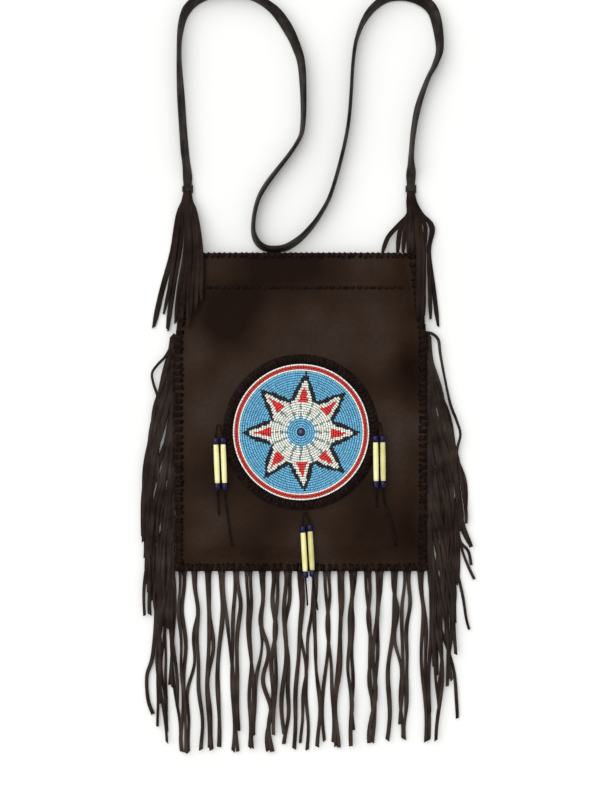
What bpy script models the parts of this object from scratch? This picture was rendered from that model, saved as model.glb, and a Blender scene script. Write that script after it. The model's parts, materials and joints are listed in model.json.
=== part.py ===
"""Beaded medicine bag: a dark leather pouch with a beaded star rosette, hairpipe pendants, long
fringe on three sides, two tassels and a leather shoulder strap. The bag lies on its back: +Z comes
out of its front, +Y points to its open top, and the origin is on its flat underside, at the middle
of the pouch. Metres."""

import math
import random

import bmesh
import bpy
from mathutils import Vector

# Pouch
BODY_HEIGHT = 0.315
BODY_WIDTH_TOP = 0.229
BODY_WIDTH_BOTTOM = 0.249
SHOULDER_Y = 0.075
BACK_LEATHER = 0.0020
FRONT_LEATHER = 0.0020
CROWN = 0.0050
SEAM_MARGIN = 0.009
SLOPE_WIDTH = 0.020
HEM_DEPTH = 0.030
HEM_GAP = 0.0004
GAP = 0.0003

# Fringe: two cut strips of leather in each seam, an under one and an over one
FRINGE_LEATHER = 0.0014
WELT_DEPTH = 0.0080
BOTTOM_STRANDS = 19
BOTTOM_STRAND_WIDTH = 0.0044
BOTTOM_FRINGE_LENGTH = 0.172
SIDE_STRANDS = 12
SIDE_STRAND_WIDTH = 0.0028
SIDE_FRINGE_LENGTH = 0.168
SIDE_FRINGE_SPREAD = 0.030
SIDE_FRINGE_TOP = 0.078
DROOP_LENGTH = 0.012
STRAND_LENGTH_RANGE = (0.92, 1.02)
STRAND_SWAY = 0.0020
BOTTOM_FRINGE_SLANT = 0.008
BOTTOM_STRAND_STOPS = [0.006, 0.012, 0.050, 0.090, 0.130]
SIDE_STRAND_DROP = 0.020
SIDE_STRAND_STOPS = [0.010, 0.020, 0.030, 0.040, 0.080, 0.120]
TURN_INSIDE = 0.0006
TURN_STEPS = 2
FLOW_SIZE = 0.0006
FLOW_LENGTH = 0.022
OVER_FRINGE_SHIFT = 0.0090
BOTTOM_LAYER_SHIFTS = (-0.0012, 0.0016)

# Lacing
LACE_THICKNESS = 0.0010
LACE_BAND = 0.0026
LACE_PITCH = 0.0070
LACE_DEPTH = 0.0060
HEM_LACE_Y = 0.1228
HEM_LACE_DEPTH = 0.0030
LACE_LIFT = 0.0005

# Rosette
ROSETTE_X = 0.0
ROSETTE_Y = -0.0198
BEADWORK_RADIUS = 0.0673
BACKING_THICKNESS = 0.0010
BEAD_THICKNESS = 0.0018
RIM_ROW = 0.00170
STAR_POINTS = 8
STAR_TURN = math.radians(-0.5)
STAR_TIP_RADIUS = 0.0586
STAR_VALLEY_RADIUS = 0.0330
STAR_INNER_TIP_RADIUS = 0.0500
STAR_INNER_VALLEY_RADIUS = 0.0278
TRIANGLE_BASE_RADIUS = 0.0305
TRIANGLE_APEX_RADIUS = 0.0460
TRIANGLE_HALF_BASE = 0.0055
CENTRE_DISC_RADIUS = 0.0149
CENTRE_BEAD_RADIUS = 0.0036
BORDER_GAP = 0.0005
BORDER_WIDTH = 0.0090
BORDER_THICKNESS = 0.0022
BORDER_LACE_STITCHES = 72
BORDER_LACE_INSET = 0.0012
BORDER_LACE_DEPTH = 0.0024
BORDER_LACE_SHARE = 0.6
CIRCLE_POINTS = 40

# Pendants
HAIRPIPE_LENGTH = 0.0381
HAIRPIPE_RADIUS = 0.0026
HAIRPIPE_END_RADIUS = 0.0022
BORE_RADIUS = 0.0013
TURNED_STEPS = 10
GLASS_BEAD_RADIUS = 0.0031
GLASS_BEAD_HEIGHT = 0.0064
THONG_RADIUS = 0.0008
PIPE_PITCH = 0.0070
THONG_RUN = 0.0156
LEFT_PENDANT_REACH = 0.0810
LEFT_PENDANT_RISE = 0.0070
RIGHT_PENDANT_REACH = 0.0766
RIGHT_PENDANT_RISE = 0.0091
SIDE_PENDANT_LIFT = 0.0036
BOTTOM_PENDANT_SHIFT = 0.0043
BOTTOM_PENDANT_GAP = 0.0026
BOTTOM_PENDANT_STAGGER = 0.0009

# Each pendant's two loose ends: steps from where the thong leaves its lower bead
ON_PANEL = THONG_RADIUS - GLASS_BEAD_RADIUS
PAST_EDGE = -0.4 * (FRONT_LEATHER + CROWN)
PENDANT_TAILS = {
    "left_pendant": [
        [(0.0005, -0.010, ON_PANEL), (0.001, -0.024, ON_PANEL)],
        [(0.0006, -0.010, ON_PANEL), (0.004, -0.034, ON_PANEL), (0.007, -0.055, ON_PANEL)],
    ],
    "right_pendant": [
        [(0.0003, -0.010, ON_PANEL), (0.001, -0.018, ON_PANEL)],
        [(0.0010, -0.012, ON_PANEL), (0.008, -0.034, ON_PANEL), (0.012, -0.056, ON_PANEL)],
    ],
    "bottom_pendant": [
        [(0.0010, -0.012, PAST_EDGE), (0.002, -0.026, 2 * PAST_EDGE)],
        [(0.0020, -0.012, PAST_EDGE), (0.005, -0.032, 2 * PAST_EDGE)],
    ],
}

# Strap, its tabs in the side seams, keepers and tassels
STRAP_WIDTH = 0.0135
STRAP_THICKNESS = 0.0028
STRAP_END_WIDTH = 0.0084
TAB_TOP = 0.2220
TAB_BOTTOM = 0.0860
KEEPER_HEIGHT = 0.0080
KEEPER_LEATHER = 0.0012
TASSEL_HEAD_TOP = 0.2165
TASSEL_HEAD_HEIGHT = 0.0150
TASSEL_LEATHER = 0.0014
TASSEL_STRAND_WIDTH = 0.0036
TASSEL_ROOM = 0.0015
TASSEL_SPREAD = 2.4
TASSEL_WIDEN = 1.5
TASSEL_DROOP_START = 0.35
TAB_BEND = 0.004
KEEPER_BELOW = 0.0048
FLOOR_GAP = 0.0003

# Tassel strands: how far out from the pouch's top corner the first and last one ends, how many, the
# height of their ends
FRONT_FANS = {"left": (0.0112, 0.0310, 4, 0.090), "right": (0.0112, 0.0232, 4, 0.090)}
BACK_FANS = {"left": (0.0125, 0.0335, 4, 0.084), "right": (0.0112, 0.0232, 4, 0.084)}
END_STAGGER = 0.0015
# Two strands of the right tassel arc to the pouch's mouth. The x and z of their ends.
MOUTH_STRANDS = {"left": [], "right": [(0.0815, 0.0040), (0.0935, 0.0040)]}
MOUTH_GAP = 0.0005

# The strap's route over the surface, chosen by hand: x, y in millimetres, then how far the flat
# strap leans, in degrees: 90 stands on its edge and 0 lies flat.
STRAP_ROUTE = [
    (-112.5, 222, 0), (-112.5, 228, 0), (-113, 240, 60), (-115.5, 262, 66), (-119, 314, 69),
    (-120.8, 357, 84), (-118.5, 384, 74), (-111.5, 401, 64), (-96.5, 411, 72), (-72.5, 415, 80),
    (-47.5, 411, 76), (-28.5, 400, 62), (-15.5, 384, 52), (-5, 363, 60), (1, 339, 68), (2, 287, 78),
    (-5.5, 264, 80), (-34, 226, 75), (-44, 206, 80), (-47.5, 183, 81), (-44, 169.5, 74),
    (-34.5, 162.2, 73), (-20.5, 161.8, 73), (-9.5, 165.8, 73), (4, 176.5, 77), (18.5, 195, 84),
    (31.5, 222, 86), (46.5, 283, 86), (52, 351, 86), (57.5, 377, 84), (67.5, 396, 74),
    (82.5, 409, 66), (99, 413, 56), (117, 409, 50), (131.5, 396, 50), (137.5, 363, 66),
    (133, 344.7, 75), (125.5, 330, 80), (116.6, 305, 74), (111.8, 281.5, 78), (109.2, 255, 80),
    (109.1, 240, 60), (109, 228, 0), (109, 222, 0),
]
STRAP_STEPS = 3
STRAP_TAPER = 0.018

# Places that follow from the sizes above
UNDER_WELT_Z = BACK_LEATHER + GAP
OVER_WELT_Z = UNDER_WELT_Z + FRINGE_LEATHER + GAP
FRONT_UNDER_Z = OVER_WELT_Z + FRINGE_LEATHER + GAP
SEAM_TOP_Z = FRONT_UNDER_Z + FRONT_LEATHER
PLATEAU_Z = SEAM_TOP_Z + CROWN
TAB_THICKNESS = FRONT_UNDER_Z - BACK_LEATHER - 2 * GAP
TAB_MID_Z = UNDER_WELT_Z + TAB_THICKNESS / 2
BOTTOM_Y = -BODY_HEIGHT / 2
TOP_Y = BODY_HEIGHT / 2
BEADWORK_Z = PLATEAU_Z + GAP + BACKING_THICKNESS + GAP
PENDANT_AXIS_Z = PLATEAU_Z + GAP + GLASS_BEAD_RADIUS
BORDER_INNER_RADIUS = BEADWORK_RADIUS + BORDER_GAP
BORDER_OUTER_RADIUS = BORDER_INNER_RADIUS + BORDER_WIDTH

LEATHER = ("dark_leather", (0.026, 0.015, 0.012), 0.55)
FRINGE = ("fringe_leather", (0.032, 0.023, 0.019), 0.60)
LACE = ("lace_leather", (0.018, 0.011, 0.009), 0.55)
BLUE = ("blue_beads", (0.14, 0.46, 0.68), 0.35)
CREAM = ("cream_beads", (0.83, 0.83, 0.68), 0.35)
RED = ("red_beads", (0.51, 0.027, 0.027), 0.35)
NAVY = ("navy_beads", (0.004, 0.008, 0.016), 0.30)
BONE = ("bone", (0.83, 0.76, 0.42), 0.40)
COBALT = ("cobalt_glass", (0.005, 0.005, 0.12), 0.15)


def clear_scene():
    for obj in list(bpy.data.objects):
        bpy.data.objects.remove(obj, do_unlink=True)


def make_collection(name):
    collection = bpy.data.collections.new(name)
    bpy.context.scene.collection.children.link(collection)
    return collection


def get_material(finish):
    name, colour, roughness = finish
    material = bpy.data.materials.get(name)
    if material is None:
        material = bpy.data.materials.new(name)
        material.use_nodes = True
        shader = material.node_tree.nodes["Principled BSDF"]
        shader.inputs["Base Color"].default_value = (*colour, 1.0)
        shader.inputs["Roughness"].default_value = roughness
        shader.inputs["Metallic"].default_value = 0.0
    return material


def add_object(name, data, finish, collection):
    obj = bpy.data.objects.new(name, data)
    obj.data.materials.append(get_material(finish))
    collection.objects.link(obj)
    return obj


def smooth(t):
    t = min(max(t, 0.0), 1.0)
    return t * t * (3.0 - 2.0 * t)


def half_width(y):
    """Half the pouch's width at height y: its sides are parallel up to the shoulder."""
    share = min(max((y - SHOULDER_Y) / (TOP_Y - SHOULDER_Y), 0.0), 1.0)
    return (BODY_WIDTH_BOTTOM + (BODY_WIDTH_TOP - BODY_WIDTH_BOTTOM) * share) / 2


def crown(x, y):
    """How far the front panel stands above its seams at x, y."""
    from_side = half_width(y) - SEAM_MARGIN - abs(x)
    from_bottom = y - BOTTOM_Y - SEAM_MARGIN
    return CROWN * smooth(from_side / SLOPE_WIDTH) * smooth(from_bottom / SLOPE_WIDTH)


def front_top(x, y):
    return SEAM_TOP_Z + crown(x, y)


def mesh_from_quads(name, quads, finish, collection):
    """One mesh of quads that share their corners."""
    shape = bmesh.new()
    for corners in quads:
        shape.faces.new([shape.verts.new(corner) for corner in corners])
    bmesh.ops.remove_doubles(shape, verts=shape.verts, dist=1e-6)
    mesh = bpy.data.meshes.new(name)
    shape.to_mesh(mesh)
    shape.free()
    return add_object(name, mesh, finish, collection)


def thicken(obj, thickness):
    """Gives an open sheet its thickness, on the side its faces look to."""
    modifier = obj.modifiers.new("Thickness", "SOLIDIFY")
    modifier.thickness = thickness
    modifier.offset = 1.0
    return obj


def strip_quads(left, right):
    """Quads between two rows of points. They face up where left is on the way's left side."""
    pairs = list(zip(left, right))
    quads = []
    for (a, b), (c, d) in zip(pairs, pairs[1:]):
        quads.append((a, b, d, c))
    return quads


def grid_quads(rows):
    quads = []
    for low, high in zip(rows, rows[1:]):
        for a, b, c, d in zip(low, low[1:], high[1:], high):
            quads.append((a, b, c, d))
    return quads


def front_columns(y):
    """The x of each column of the front panel, finer where the panel slopes to its seams."""
    outer = half_width(y)
    inner = outer - SEAM_MARGIN
    steps = [outer, inner] + [inner - SLOPE_WIDTH * k / 5 for k in range(1, 6)]
    return [-x for x in steps] + [-steps[-1] / 3, steps[-1] / 3] + steps[::-1]


def make_back_panel(collection):
    rows = []
    for y in (BOTTOM_Y, SHOULDER_Y, TOP_Y):
        rows.append([(-half_width(y), y, 0.0), (half_width(y), y, 0.0)])
    panel = mesh_from_quads("back_panel", grid_quads(rows), LEATHER, collection)
    return thicken(panel, BACK_LEATHER)


def make_front_panel(collection):
    """The crowned front, with its top edge turned in as a hem."""
    slope_start = BOTTOM_Y + SEAM_MARGIN
    slope_rows = [slope_start + SLOPE_WIDTH * k / 5 for k in range(6)]
    plateau = slope_rows[-1]
    fold_radius = HEM_GAP / 2
    fold_y = TOP_Y - FRONT_LEATHER - fold_radius
    flat_rows = [(plateau + SHOULDER_Y) / 2, SHOULDER_Y, (SHOULDER_Y + fold_y) / 2, fold_y]
    rows = []
    for y in [BOTTOM_Y] + slope_rows + flat_rows:
        rows.append([(x, y, FRONT_UNDER_Z + crown(x, y)) for x in front_columns(y)])
    hem_columns = slice(4, -4)
    hem = [rows[-1][hem_columns]]
    for k in range(1, 5):
        turn = math.pi * k / 4
        y_step = fold_radius * math.sin(turn)
        drop = fold_radius * (1 - math.cos(turn))
        hem.append([(x, y + y_step, z - drop) for x, y, z in hem[0]])
    hem.append([(x, y - HEM_DEPTH, z) for x, y, z in hem[-1]])
    quads = grid_quads(rows) + grid_quads(hem)
    return thicken(mesh_from_quads("front_panel", quads, LEATHER, collection), FRONT_LEATHER)


def strand_z(out, start_z, rest_z):
    """A strand sinks to what it lies on as it gets away from its seam."""
    return start_z + (rest_z - start_z) * smooth(out / DROOP_LENGTH)


def make_bottom_fringe(name, start_z, rest_z, shift, seed, collection):
    chance = random.Random(seed)
    pitch = (BODY_WIDTH_BOTTOM - 2 * SEAM_MARGIN) / BOTTOM_STRANDS
    seam_y = BOTTOM_Y - GAP
    left_end = -BODY_WIDTH_BOTTOM / 2 + GAP
    roots = []
    for k in range(BOTTOM_STRANDS):
        centre = (k - (BOTTOM_STRANDS - 1) / 2) * pitch + shift
        roots.append((centre - BOTTOM_STRAND_WIDTH / 2, centre + BOTTOM_STRAND_WIDTH / 2))
    edges = sorted([left_end, -left_end] + [x for pair in roots for x in pair])
    inner = [(x, seam_y + WELT_DEPTH, start_z) for x in edges]
    outer = [(x, seam_y, start_z) for x in edges]
    quads = grid_quads([outer, inner])
    for a, b in roots:
        length = BOTTOM_FRINGE_LENGTH * chance.uniform(*STRAND_LENGTH_RANGE)
        length -= BOTTOM_FRINGE_SLANT * a / BODY_WIDTH_BOTTOM
        bend = chance.uniform(-STRAND_SWAY, STRAND_SWAY)
        lean = chance.uniform(-STRAND_SWAY, STRAND_SWAY)
        phase = chance.uniform(0, 2 * math.pi)
        left = []
        right = []
        for travel in [0.0] + BOTTOM_STRAND_STOPS + [length]:
            share = travel / length
            sway = smooth(share * 4) * (bend * math.sin(share * 7 + phase) + lean * share)
            z = strand_z(travel, start_z, rest_z)
            left.append((a + sway, seam_y - travel, z))
            right.append((b + sway, seam_y - travel, z))
        quads += strip_quads(right, left)
    return thicken(mesh_from_quads(name, quads, FRINGE, collection), FRINGE_LEATHER)


def side_strand(side, root_y, length, heights, drop_start):
    """Both edges of a strand that leaves a side seam, turns down along the pouch and sinks."""
    start_z, rest_z = heights
    half = SIDE_STRAND_WIDTH / 2
    turn = half + TURN_INSIDE
    edges = ((0, turn - half), (1, turn + half))
    rows = ([], [])
    for k in range(TURN_STEPS + 1):
        angle = math.pi / 2 * k / TURN_STEPS
        for edge, radius in edges:
            y = root_y - turn + radius * math.cos(angle)
            x = side * (half_width(y) + GAP + radius * math.sin(angle))
            rows[edge].append((x, y, start_z))
    for travel in SIDE_STRAND_STOPS + [length]:
        y = root_y - turn - travel
        drift = SIDE_FRINGE_SPREAD * travel / SIDE_FRINGE_LENGTH
        flow = FLOW_SIZE * (1.0 + math.sin(y / FLOW_LENGTH + side))
        z = start_z + (rest_z - start_z) * smooth((travel - drop_start) / SIDE_STRAND_DROP)
        for edge, offset in edges:
            x = side * (half_width(y) + GAP + drift + flow + offset)
            rows[edge].append((x, y, z))
    return rows


def make_side_fringe(name, side, heights, shift, drop_start, seed, collection):
    chance = random.Random(seed)
    lowest = BOTTOM_Y + WELT_DEPTH + 2 * GAP
    pitch = (SIDE_FRINGE_TOP - lowest - SIDE_STRAND_WIDTH) / SIDE_STRANDS
    quads = []
    edges = [lowest]
    for k in range(SIDE_STRANDS):
        root_y = SIDE_FRINGE_TOP - SIDE_STRAND_WIDTH - shift - k * pitch
        length = SIDE_FRINGE_LENGTH * chance.uniform(*STRAND_LENGTH_RANGE)
        left, right = side_strand(side, root_y, length, heights, drop_start)
        edges += [left[0][1], right[0][1]]
        quads += strip_quads(right, left) if side > 0 else strip_quads(left, right)
    edges.append(SIDE_FRINGE_TOP)
    edges.sort()
    inner = [(side * (half_width(y) - WELT_DEPTH), y, heights[0]) for y in edges]
    outer = [(side * (half_width(y) + GAP), y, heights[0]) for y in edges]
    rows = [inner, outer] if side < 0 else [outer, inner]
    quads += grid_quads(rows)
    return thicken(mesh_from_quads(name, quads, FRINGE, collection), FRINGE_LEATHER)


def make_zigzag(name, places, collection):
    """A flat lace along a seam: places gives, for each turn, its point and the way across."""
    left = []
    right = []
    for point, across in places:
        left.append(tuple(Vector(point) + Vector(across) * LACE_BAND / 2))
        right.append(tuple(Vector(point) - Vector(across) * LACE_BAND / 2))
    lace = mesh_from_quads(name, strip_quads(left, right), LACE, collection)
    return thicken(lace, LACE_THICKNESS)


def lace_run(start, end, depth):
    """The turns of a lace from start to end. It reaches depth to the left of its way."""
    start = Vector((*start, 0.0))
    end = Vector((*end, 0.0))
    way = (end - start).normalized()
    across = Vector((-way.y, way.x, 0.0))
    turns = 2 * round((end - start).length / LACE_PITCH)
    places = []
    for k in range(turns + 1):
        foot = start.lerp(end, k / turns)
        point = foot + across * (depth - LACE_BAND) * (k % 2)
        point.z = front_top(point.x, point.y) + LACE_LIFT
        places.append((point, across))
    return places


def side_lace_run(side, inset, low, high):
    """The turns of a side seam's lace, on the way that has the pouch on its left."""
    turns = 2 * round((high - low) / LACE_PITCH)
    places = []
    for k in range(turns + 1):
        y = low + (high - low) * k / turns
        x = side * (half_width(y) - inset - (LACE_DEPTH - LACE_BAND) * (k % 2))
        places.append(((x, y, front_top(x, y) + LACE_LIFT), (-side, 0.0, 0.0)))
    return places if side > 0 else places[::-1]


def make_lacing(collection):
    inset = LACE_BAND / 2 + GAP
    low = BOTTOM_Y + WELT_DEPTH + LACE_BAND
    high = TOP_Y - WELT_DEPTH - LACE_BAND
    for name, side in (("left_seam_lacing", -1), ("right_seam_lacing", 1)):
        make_zigzag(name, side_lace_run(side, inset, low, high), collection)
    reach = BODY_WIDTH_BOTTOM / 2 - LACE_BAND
    foot = BOTTOM_Y + inset
    bottom = lace_run((-reach, foot), (reach, foot), LACE_DEPTH)
    make_zigzag("bottom_seam_lacing", bottom, collection)
    reach = BODY_WIDTH_TOP / 2 - LACE_BAND
    edge = TOP_Y - LACE_BAND / 2
    top = lace_run((reach, edge), (-reach, edge), LACE_DEPTH)
    make_zigzag("top_edge_lacing", top, collection)
    reach = half_width(HEM_LACE_Y) - SEAM_MARGIN
    hem_y = HEM_LACE_Y - HEM_LACE_DEPTH / 2
    hem = lace_run((-reach, hem_y), (reach, hem_y), HEM_LACE_DEPTH + LACE_BAND / 2)
    make_zigzag("hem_lacing", hem, collection)


def circle(radius):
    steps = [2 * math.pi * k / CIRCLE_POINTS for k in range(CIRCLE_POINTS)]
    return [(radius * math.cos(a), radius * math.sin(a)) for a in steps]


def star(tip, valley, grow):
    """A star's outline, grown outwards by a clearance measured square to its sides."""
    half_step = math.pi / STAR_POINTS
    side = Vector((valley * math.cos(half_step) - tip, valley * math.sin(half_step)))
    at_tip = math.pi - math.atan2(side.y, side.x)
    at_valley = at_tip + half_step
    outline = []
    for k in range(2 * STAR_POINTS):
        radius = tip + grow / math.sin(at_tip) if k % 2 == 0 else valley + grow / math.sin(at_valley)
        angle = STAR_TURN + k * half_step
        outline.append((radius * math.cos(angle), radius * math.sin(angle)))
    return outline


def triangle(turn, grow):
    """One red triangle of a star point, its apex outwards."""
    height = TRIANGLE_APEX_RADIUS - TRIANGLE_BASE_RADIUS
    slant = math.atan2(TRIANGLE_HALF_BASE, height)
    base = TRIANGLE_BASE_RADIUS - grow
    apex = TRIANGLE_APEX_RADIUS + grow / math.sin(slant)
    half_base = (apex - base) * math.tan(slant)
    corners = [(apex, 0.0), (base, half_base), (base, -half_base)]
    c, s = math.cos(turn), math.sin(turn)
    return [(x * c - y * s, x * s + y * c) for x, y in corners]


def make_flat(name, outlines, bottom_z, thickness, finish, collection):
    """A flat piece of the rosette: its outer outline, then its holes."""
    data = bpy.data.curves.new(name, "CURVE")
    data.dimensions = "2D"
    data.fill_mode = "BOTH"
    data.extrude = thickness / 2
    for outline in outlines:
        spline = data.splines.new("POLY")
        spline.points.add(len(outline) - 1)
        for point, (x, y) in zip(spline.points, outline):
            point.co = (x, y, 0.0, 1.0)
        spline.use_cyclic_u = True
    obj = add_object(name, data, finish, collection)
    obj.location = (ROSETTE_X, ROSETTE_Y, bottom_z + thickness / 2)
    return obj


def make_turned(name, profile, steps, finish, collection):
    """A ring-shaped turned piece about its own Z. The profile runs down its outer side."""
    mesh = bpy.data.meshes.new(name)
    edges = [(k, (k + 1) % len(profile)) for k in range(len(profile))]
    mesh.from_pydata([(x, 0.0, z) for x, z in profile], edges, [])
    obj = add_object(name, mesh, finish, collection)
    turned = obj.modifiers.new("Turn", "SCREW")
    turned.steps = steps
    turned.render_steps = steps
    turned.use_merge_vertices = True
    turned.merge_threshold = 1e-6
    return obj


def make_rosette(collection):
    beads = (BEADWORK_Z, BEAD_THICKNESS)
    rim = BEADWORK_RADIUS
    backing_z = PLATEAU_Z + GAP
    make_flat("rosette_backing", [circle(rim)], backing_z, BACKING_THICKNESS, LEATHER, collection)
    rows = (("rim_outer_beads", CREAM, 1), ("rim_red_beads", RED, 2), ("rim_inner_beads", CREAM, 1))
    for name, finish, count in rows:
        inner = rim - RIM_ROW * count + GAP
        make_flat(name, [circle(rim), circle(inner)], *beads, finish, collection)
        rim = inner - GAP
    outer_star = star(STAR_TIP_RADIUS, STAR_VALLEY_RADIUS, 0.0)
    field_hole = star(STAR_TIP_RADIUS, STAR_VALLEY_RADIUS, GAP)
    make_flat("blue_field_beads", [circle(rim), field_hole], *beads, BLUE, collection)
    inner_star = star(STAR_INNER_TIP_RADIUS, STAR_INNER_VALLEY_RADIUS, 0.0)
    border_hole = star(STAR_INNER_TIP_RADIUS, STAR_INNER_VALLEY_RADIUS, GAP)
    make_flat("navy_star_beads", [outer_star, border_hole], *beads, NAVY, collection)
    turns = [STAR_TURN + 2 * math.pi * k / STAR_POINTS for k in range(STAR_POINTS)]
    holes = [triangle(turn, GAP) for turn in turns] + [circle(CENTRE_DISC_RADIUS + GAP)]
    make_flat("cream_star_beads", [inner_star] + holes, *beads, CREAM, collection)
    for k, turn in enumerate(turns, 1):
        make_flat(f"red_point_beads_{k}", [triangle(turn, 0.0)], *beads, RED, collection)
    hole = circle(CENTRE_BEAD_RADIUS + GAP)
    make_flat("blue_centre_beads", [circle(CENTRE_DISC_RADIUS), hole], *beads, BLUE, collection)
    make_centre_bead(collection)
    make_border(collection)


def make_centre_bead(collection):
    mesh = bpy.data.meshes.new("centre_bead")
    shape = bmesh.new()
    bmesh.ops.create_uvsphere(shape, u_segments=14, v_segments=8, radius=CENTRE_BEAD_RADIUS)
    height = 1.5 * BEAD_THICKNESS
    bmesh.ops.scale(shape, vec=(1.0, 1.0, height / (2 * CENTRE_BEAD_RADIUS)), verts=shape.verts)
    shape.to_mesh(mesh)
    shape.free()
    bead = add_object("centre_bead", mesh, NAVY, collection)
    bead.location = (ROSETTE_X, ROSETTE_Y, BEADWORK_Z + height / 2)
    bead.data.shade_smooth()


def make_border(collection):
    """The laced leather ring that holds the beadwork's edge to the front panel."""
    inner, outer = BORDER_INNER_RADIUS, BORDER_OUTER_RADIUS
    edge = BORDER_THICKNESS * 0.4
    crest = BORDER_THICKNESS
    profile = [
        (inner + 0.25 * BORDER_WIDTH, crest), (inner + 0.60 * BORDER_WIDTH, crest), (outer, edge),
        (outer, 0.0), (inner, 0.0), (inner, 0.7 * crest),
    ]
    ring = make_turned("rosette_border", profile, CIRCLE_POINTS, LEATHER, collection)
    ring.location = (ROSETTE_X, ROSETTE_Y, PLATEAU_Z + GAP)
    near = inner + BORDER_LACE_INSET
    places = []
    for k in range(2 * BORDER_LACE_STITCHES + 1):
        angle = math.pi * k / BORDER_LACE_STITCHES
        out = Vector((math.cos(angle), math.sin(angle), 0.0))
        radius = near + (BORDER_LACE_DEPTH if k % 2 else 0.0)
        point = out * radius
        point += Vector((ROSETTE_X, ROSETTE_Y, PLATEAU_Z + GAP + BORDER_THICKNESS + GAP))
        places.append((point, -out * BORDER_LACE_SHARE))
    make_zigzag("border_lacing", places, collection)


def make_hairpipe(name, centre, way, collection):
    half = HAIRPIPE_LENGTH / 2
    profile = [
        (HAIRPIPE_END_RADIUS, half), (HAIRPIPE_RADIUS, half * 0.55), (HAIRPIPE_RADIUS, -half * 0.55),
        (HAIRPIPE_END_RADIUS, -half), (BORE_RADIUS, -half), (BORE_RADIUS, half),
    ]
    pipe = make_turned(name, profile, TURNED_STEPS, BONE, collection)
    place_along(pipe, centre, way)


def make_glass_bead(name, centre, way, collection):
    half = GLASS_BEAD_HEIGHT / 2
    profile = [
        (GLASS_BEAD_RADIUS * 0.72, half), (GLASS_BEAD_RADIUS, half * 0.4),
        (GLASS_BEAD_RADIUS, -half * 0.4), (GLASS_BEAD_RADIUS * 0.72, -half),
        (BORE_RADIUS, -half), (BORE_RADIUS, half),
    ]
    bead = make_turned(name, profile, TURNED_STEPS, COBALT, collection)
    place_along(bead, centre, way)


def place_along(obj, centre, way):
    obj.rotation_mode = "QUATERNION"
    obj.rotation_quaternion = Vector(way).to_track_quat("Z", "Y")
    obj.location = centre


def make_thong(name, points, collection):
    data = bpy.data.curves.new(name, "CURVE")
    data.dimensions = "3D"
    data.bevel_depth = THONG_RADIUS
    data.bevel_resolution = 0
    data.use_fill_caps = True
    spline = data.splines.new("POLY")
    spline.points.add(len(points) - 1)
    for point, place in zip(spline.points, points):
        point.co = (*place, 1.0)
    return add_object(name, data, LACE, collection)


def make_pendant(name, anchor, lean, lift, stagger, tails, collection):
    """Two bone hairpipes, each between two glass beads, on one doubled thong hung at anchor.
    lean is the way down, lift how much higher its upper end lies than the panel needs, and stagger
    how much further down its left leg sits than its right."""
    down = Vector((*lean, 0.0)).normalized()
    side = Vector((-down.y, down.x, 0.0))
    bead_step = GLASS_BEAD_HEIGHT + 2 * GAP
    stack = HAIRPIPE_LENGTH + 2 * bead_step
    slope = Vector((0.0, 0.0, -lift / (stack + THONG_RUN)))
    way = (down + slope).normalized()
    top = Vector((*anchor, PENDANT_AXIS_Z + lift))
    legs = []
    for k, (letter, sign) in enumerate((("a", -1), ("b", 1))):
        axis = top + side * sign * PIPE_PITCH / 2
        head = axis + way * (THONG_RUN - stagger / 2 * sign)
        make_glass_bead(f"{name}_upper_bead_{letter}", head, way, collection)
        middle = head + way * (bead_step / 2 + HAIRPIPE_LENGTH / 2)
        make_hairpipe(f"{name}_hairpipe_{letter}", middle, way, collection)
        foot = middle + way * (HAIRPIPE_LENGTH / 2 + bead_step / 2)
        make_glass_bead(f"{name}_lower_bead_{letter}", foot, way, collection)
        out = foot + way * bead_step
        tail = [out + Vector(step) for step in tails[k]]
        legs.append([head - way * bead_step, out] + tail)
    ring = [top + side * sign * 2 * THONG_RADIUS for sign in (-1, 1)]
    points = legs[0][::-1] + ring + legs[1]
    make_thong(f"{name}_thong", [tuple(point) for point in points], collection)


def make_pendants(collection):
    lift = SIDE_PENDANT_LIFT
    places = {
        "left_pendant": (-LEFT_PENDANT_REACH, LEFT_PENDANT_RISE, (0.037, -1.0), lift, 0.0),
        "right_pendant": (RIGHT_PENDANT_REACH, RIGHT_PENDANT_RISE, (0.016, -1.0), lift, 0.0),
        "bottom_pendant": (BOTTOM_PENDANT_SHIFT, -BORDER_OUTER_RADIUS - BOTTOM_PENDANT_GAP,
                           (0.057, -1.0), 0.0, BOTTOM_PENDANT_STAGGER),
    }
    for name, (x, y, lean, rise, stagger) in places.items():
        anchor = (ROSETTE_X + x, ROSETTE_Y + y)
        make_pendant(name, anchor, lean, rise, stagger, PENDANT_TAILS[name], collection)


def route_point(index, share):
    """A smooth curve through the strap's route."""
    last = len(STRAP_ROUTE) - 1
    p = [Vector(STRAP_ROUTE[min(max(index + k, 0), last)]) for k in (-1, 0, 1, 2)]
    a = 2 * p[1]
    b = p[2] - p[0]
    c = 2 * p[0] - 5 * p[1] + 4 * p[2] - p[3]
    d = 3 * p[1] - p[0] - 3 * p[2] + p[3]
    return (a + b * share + c * share ** 2 + d * share ** 3) / 2


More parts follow.
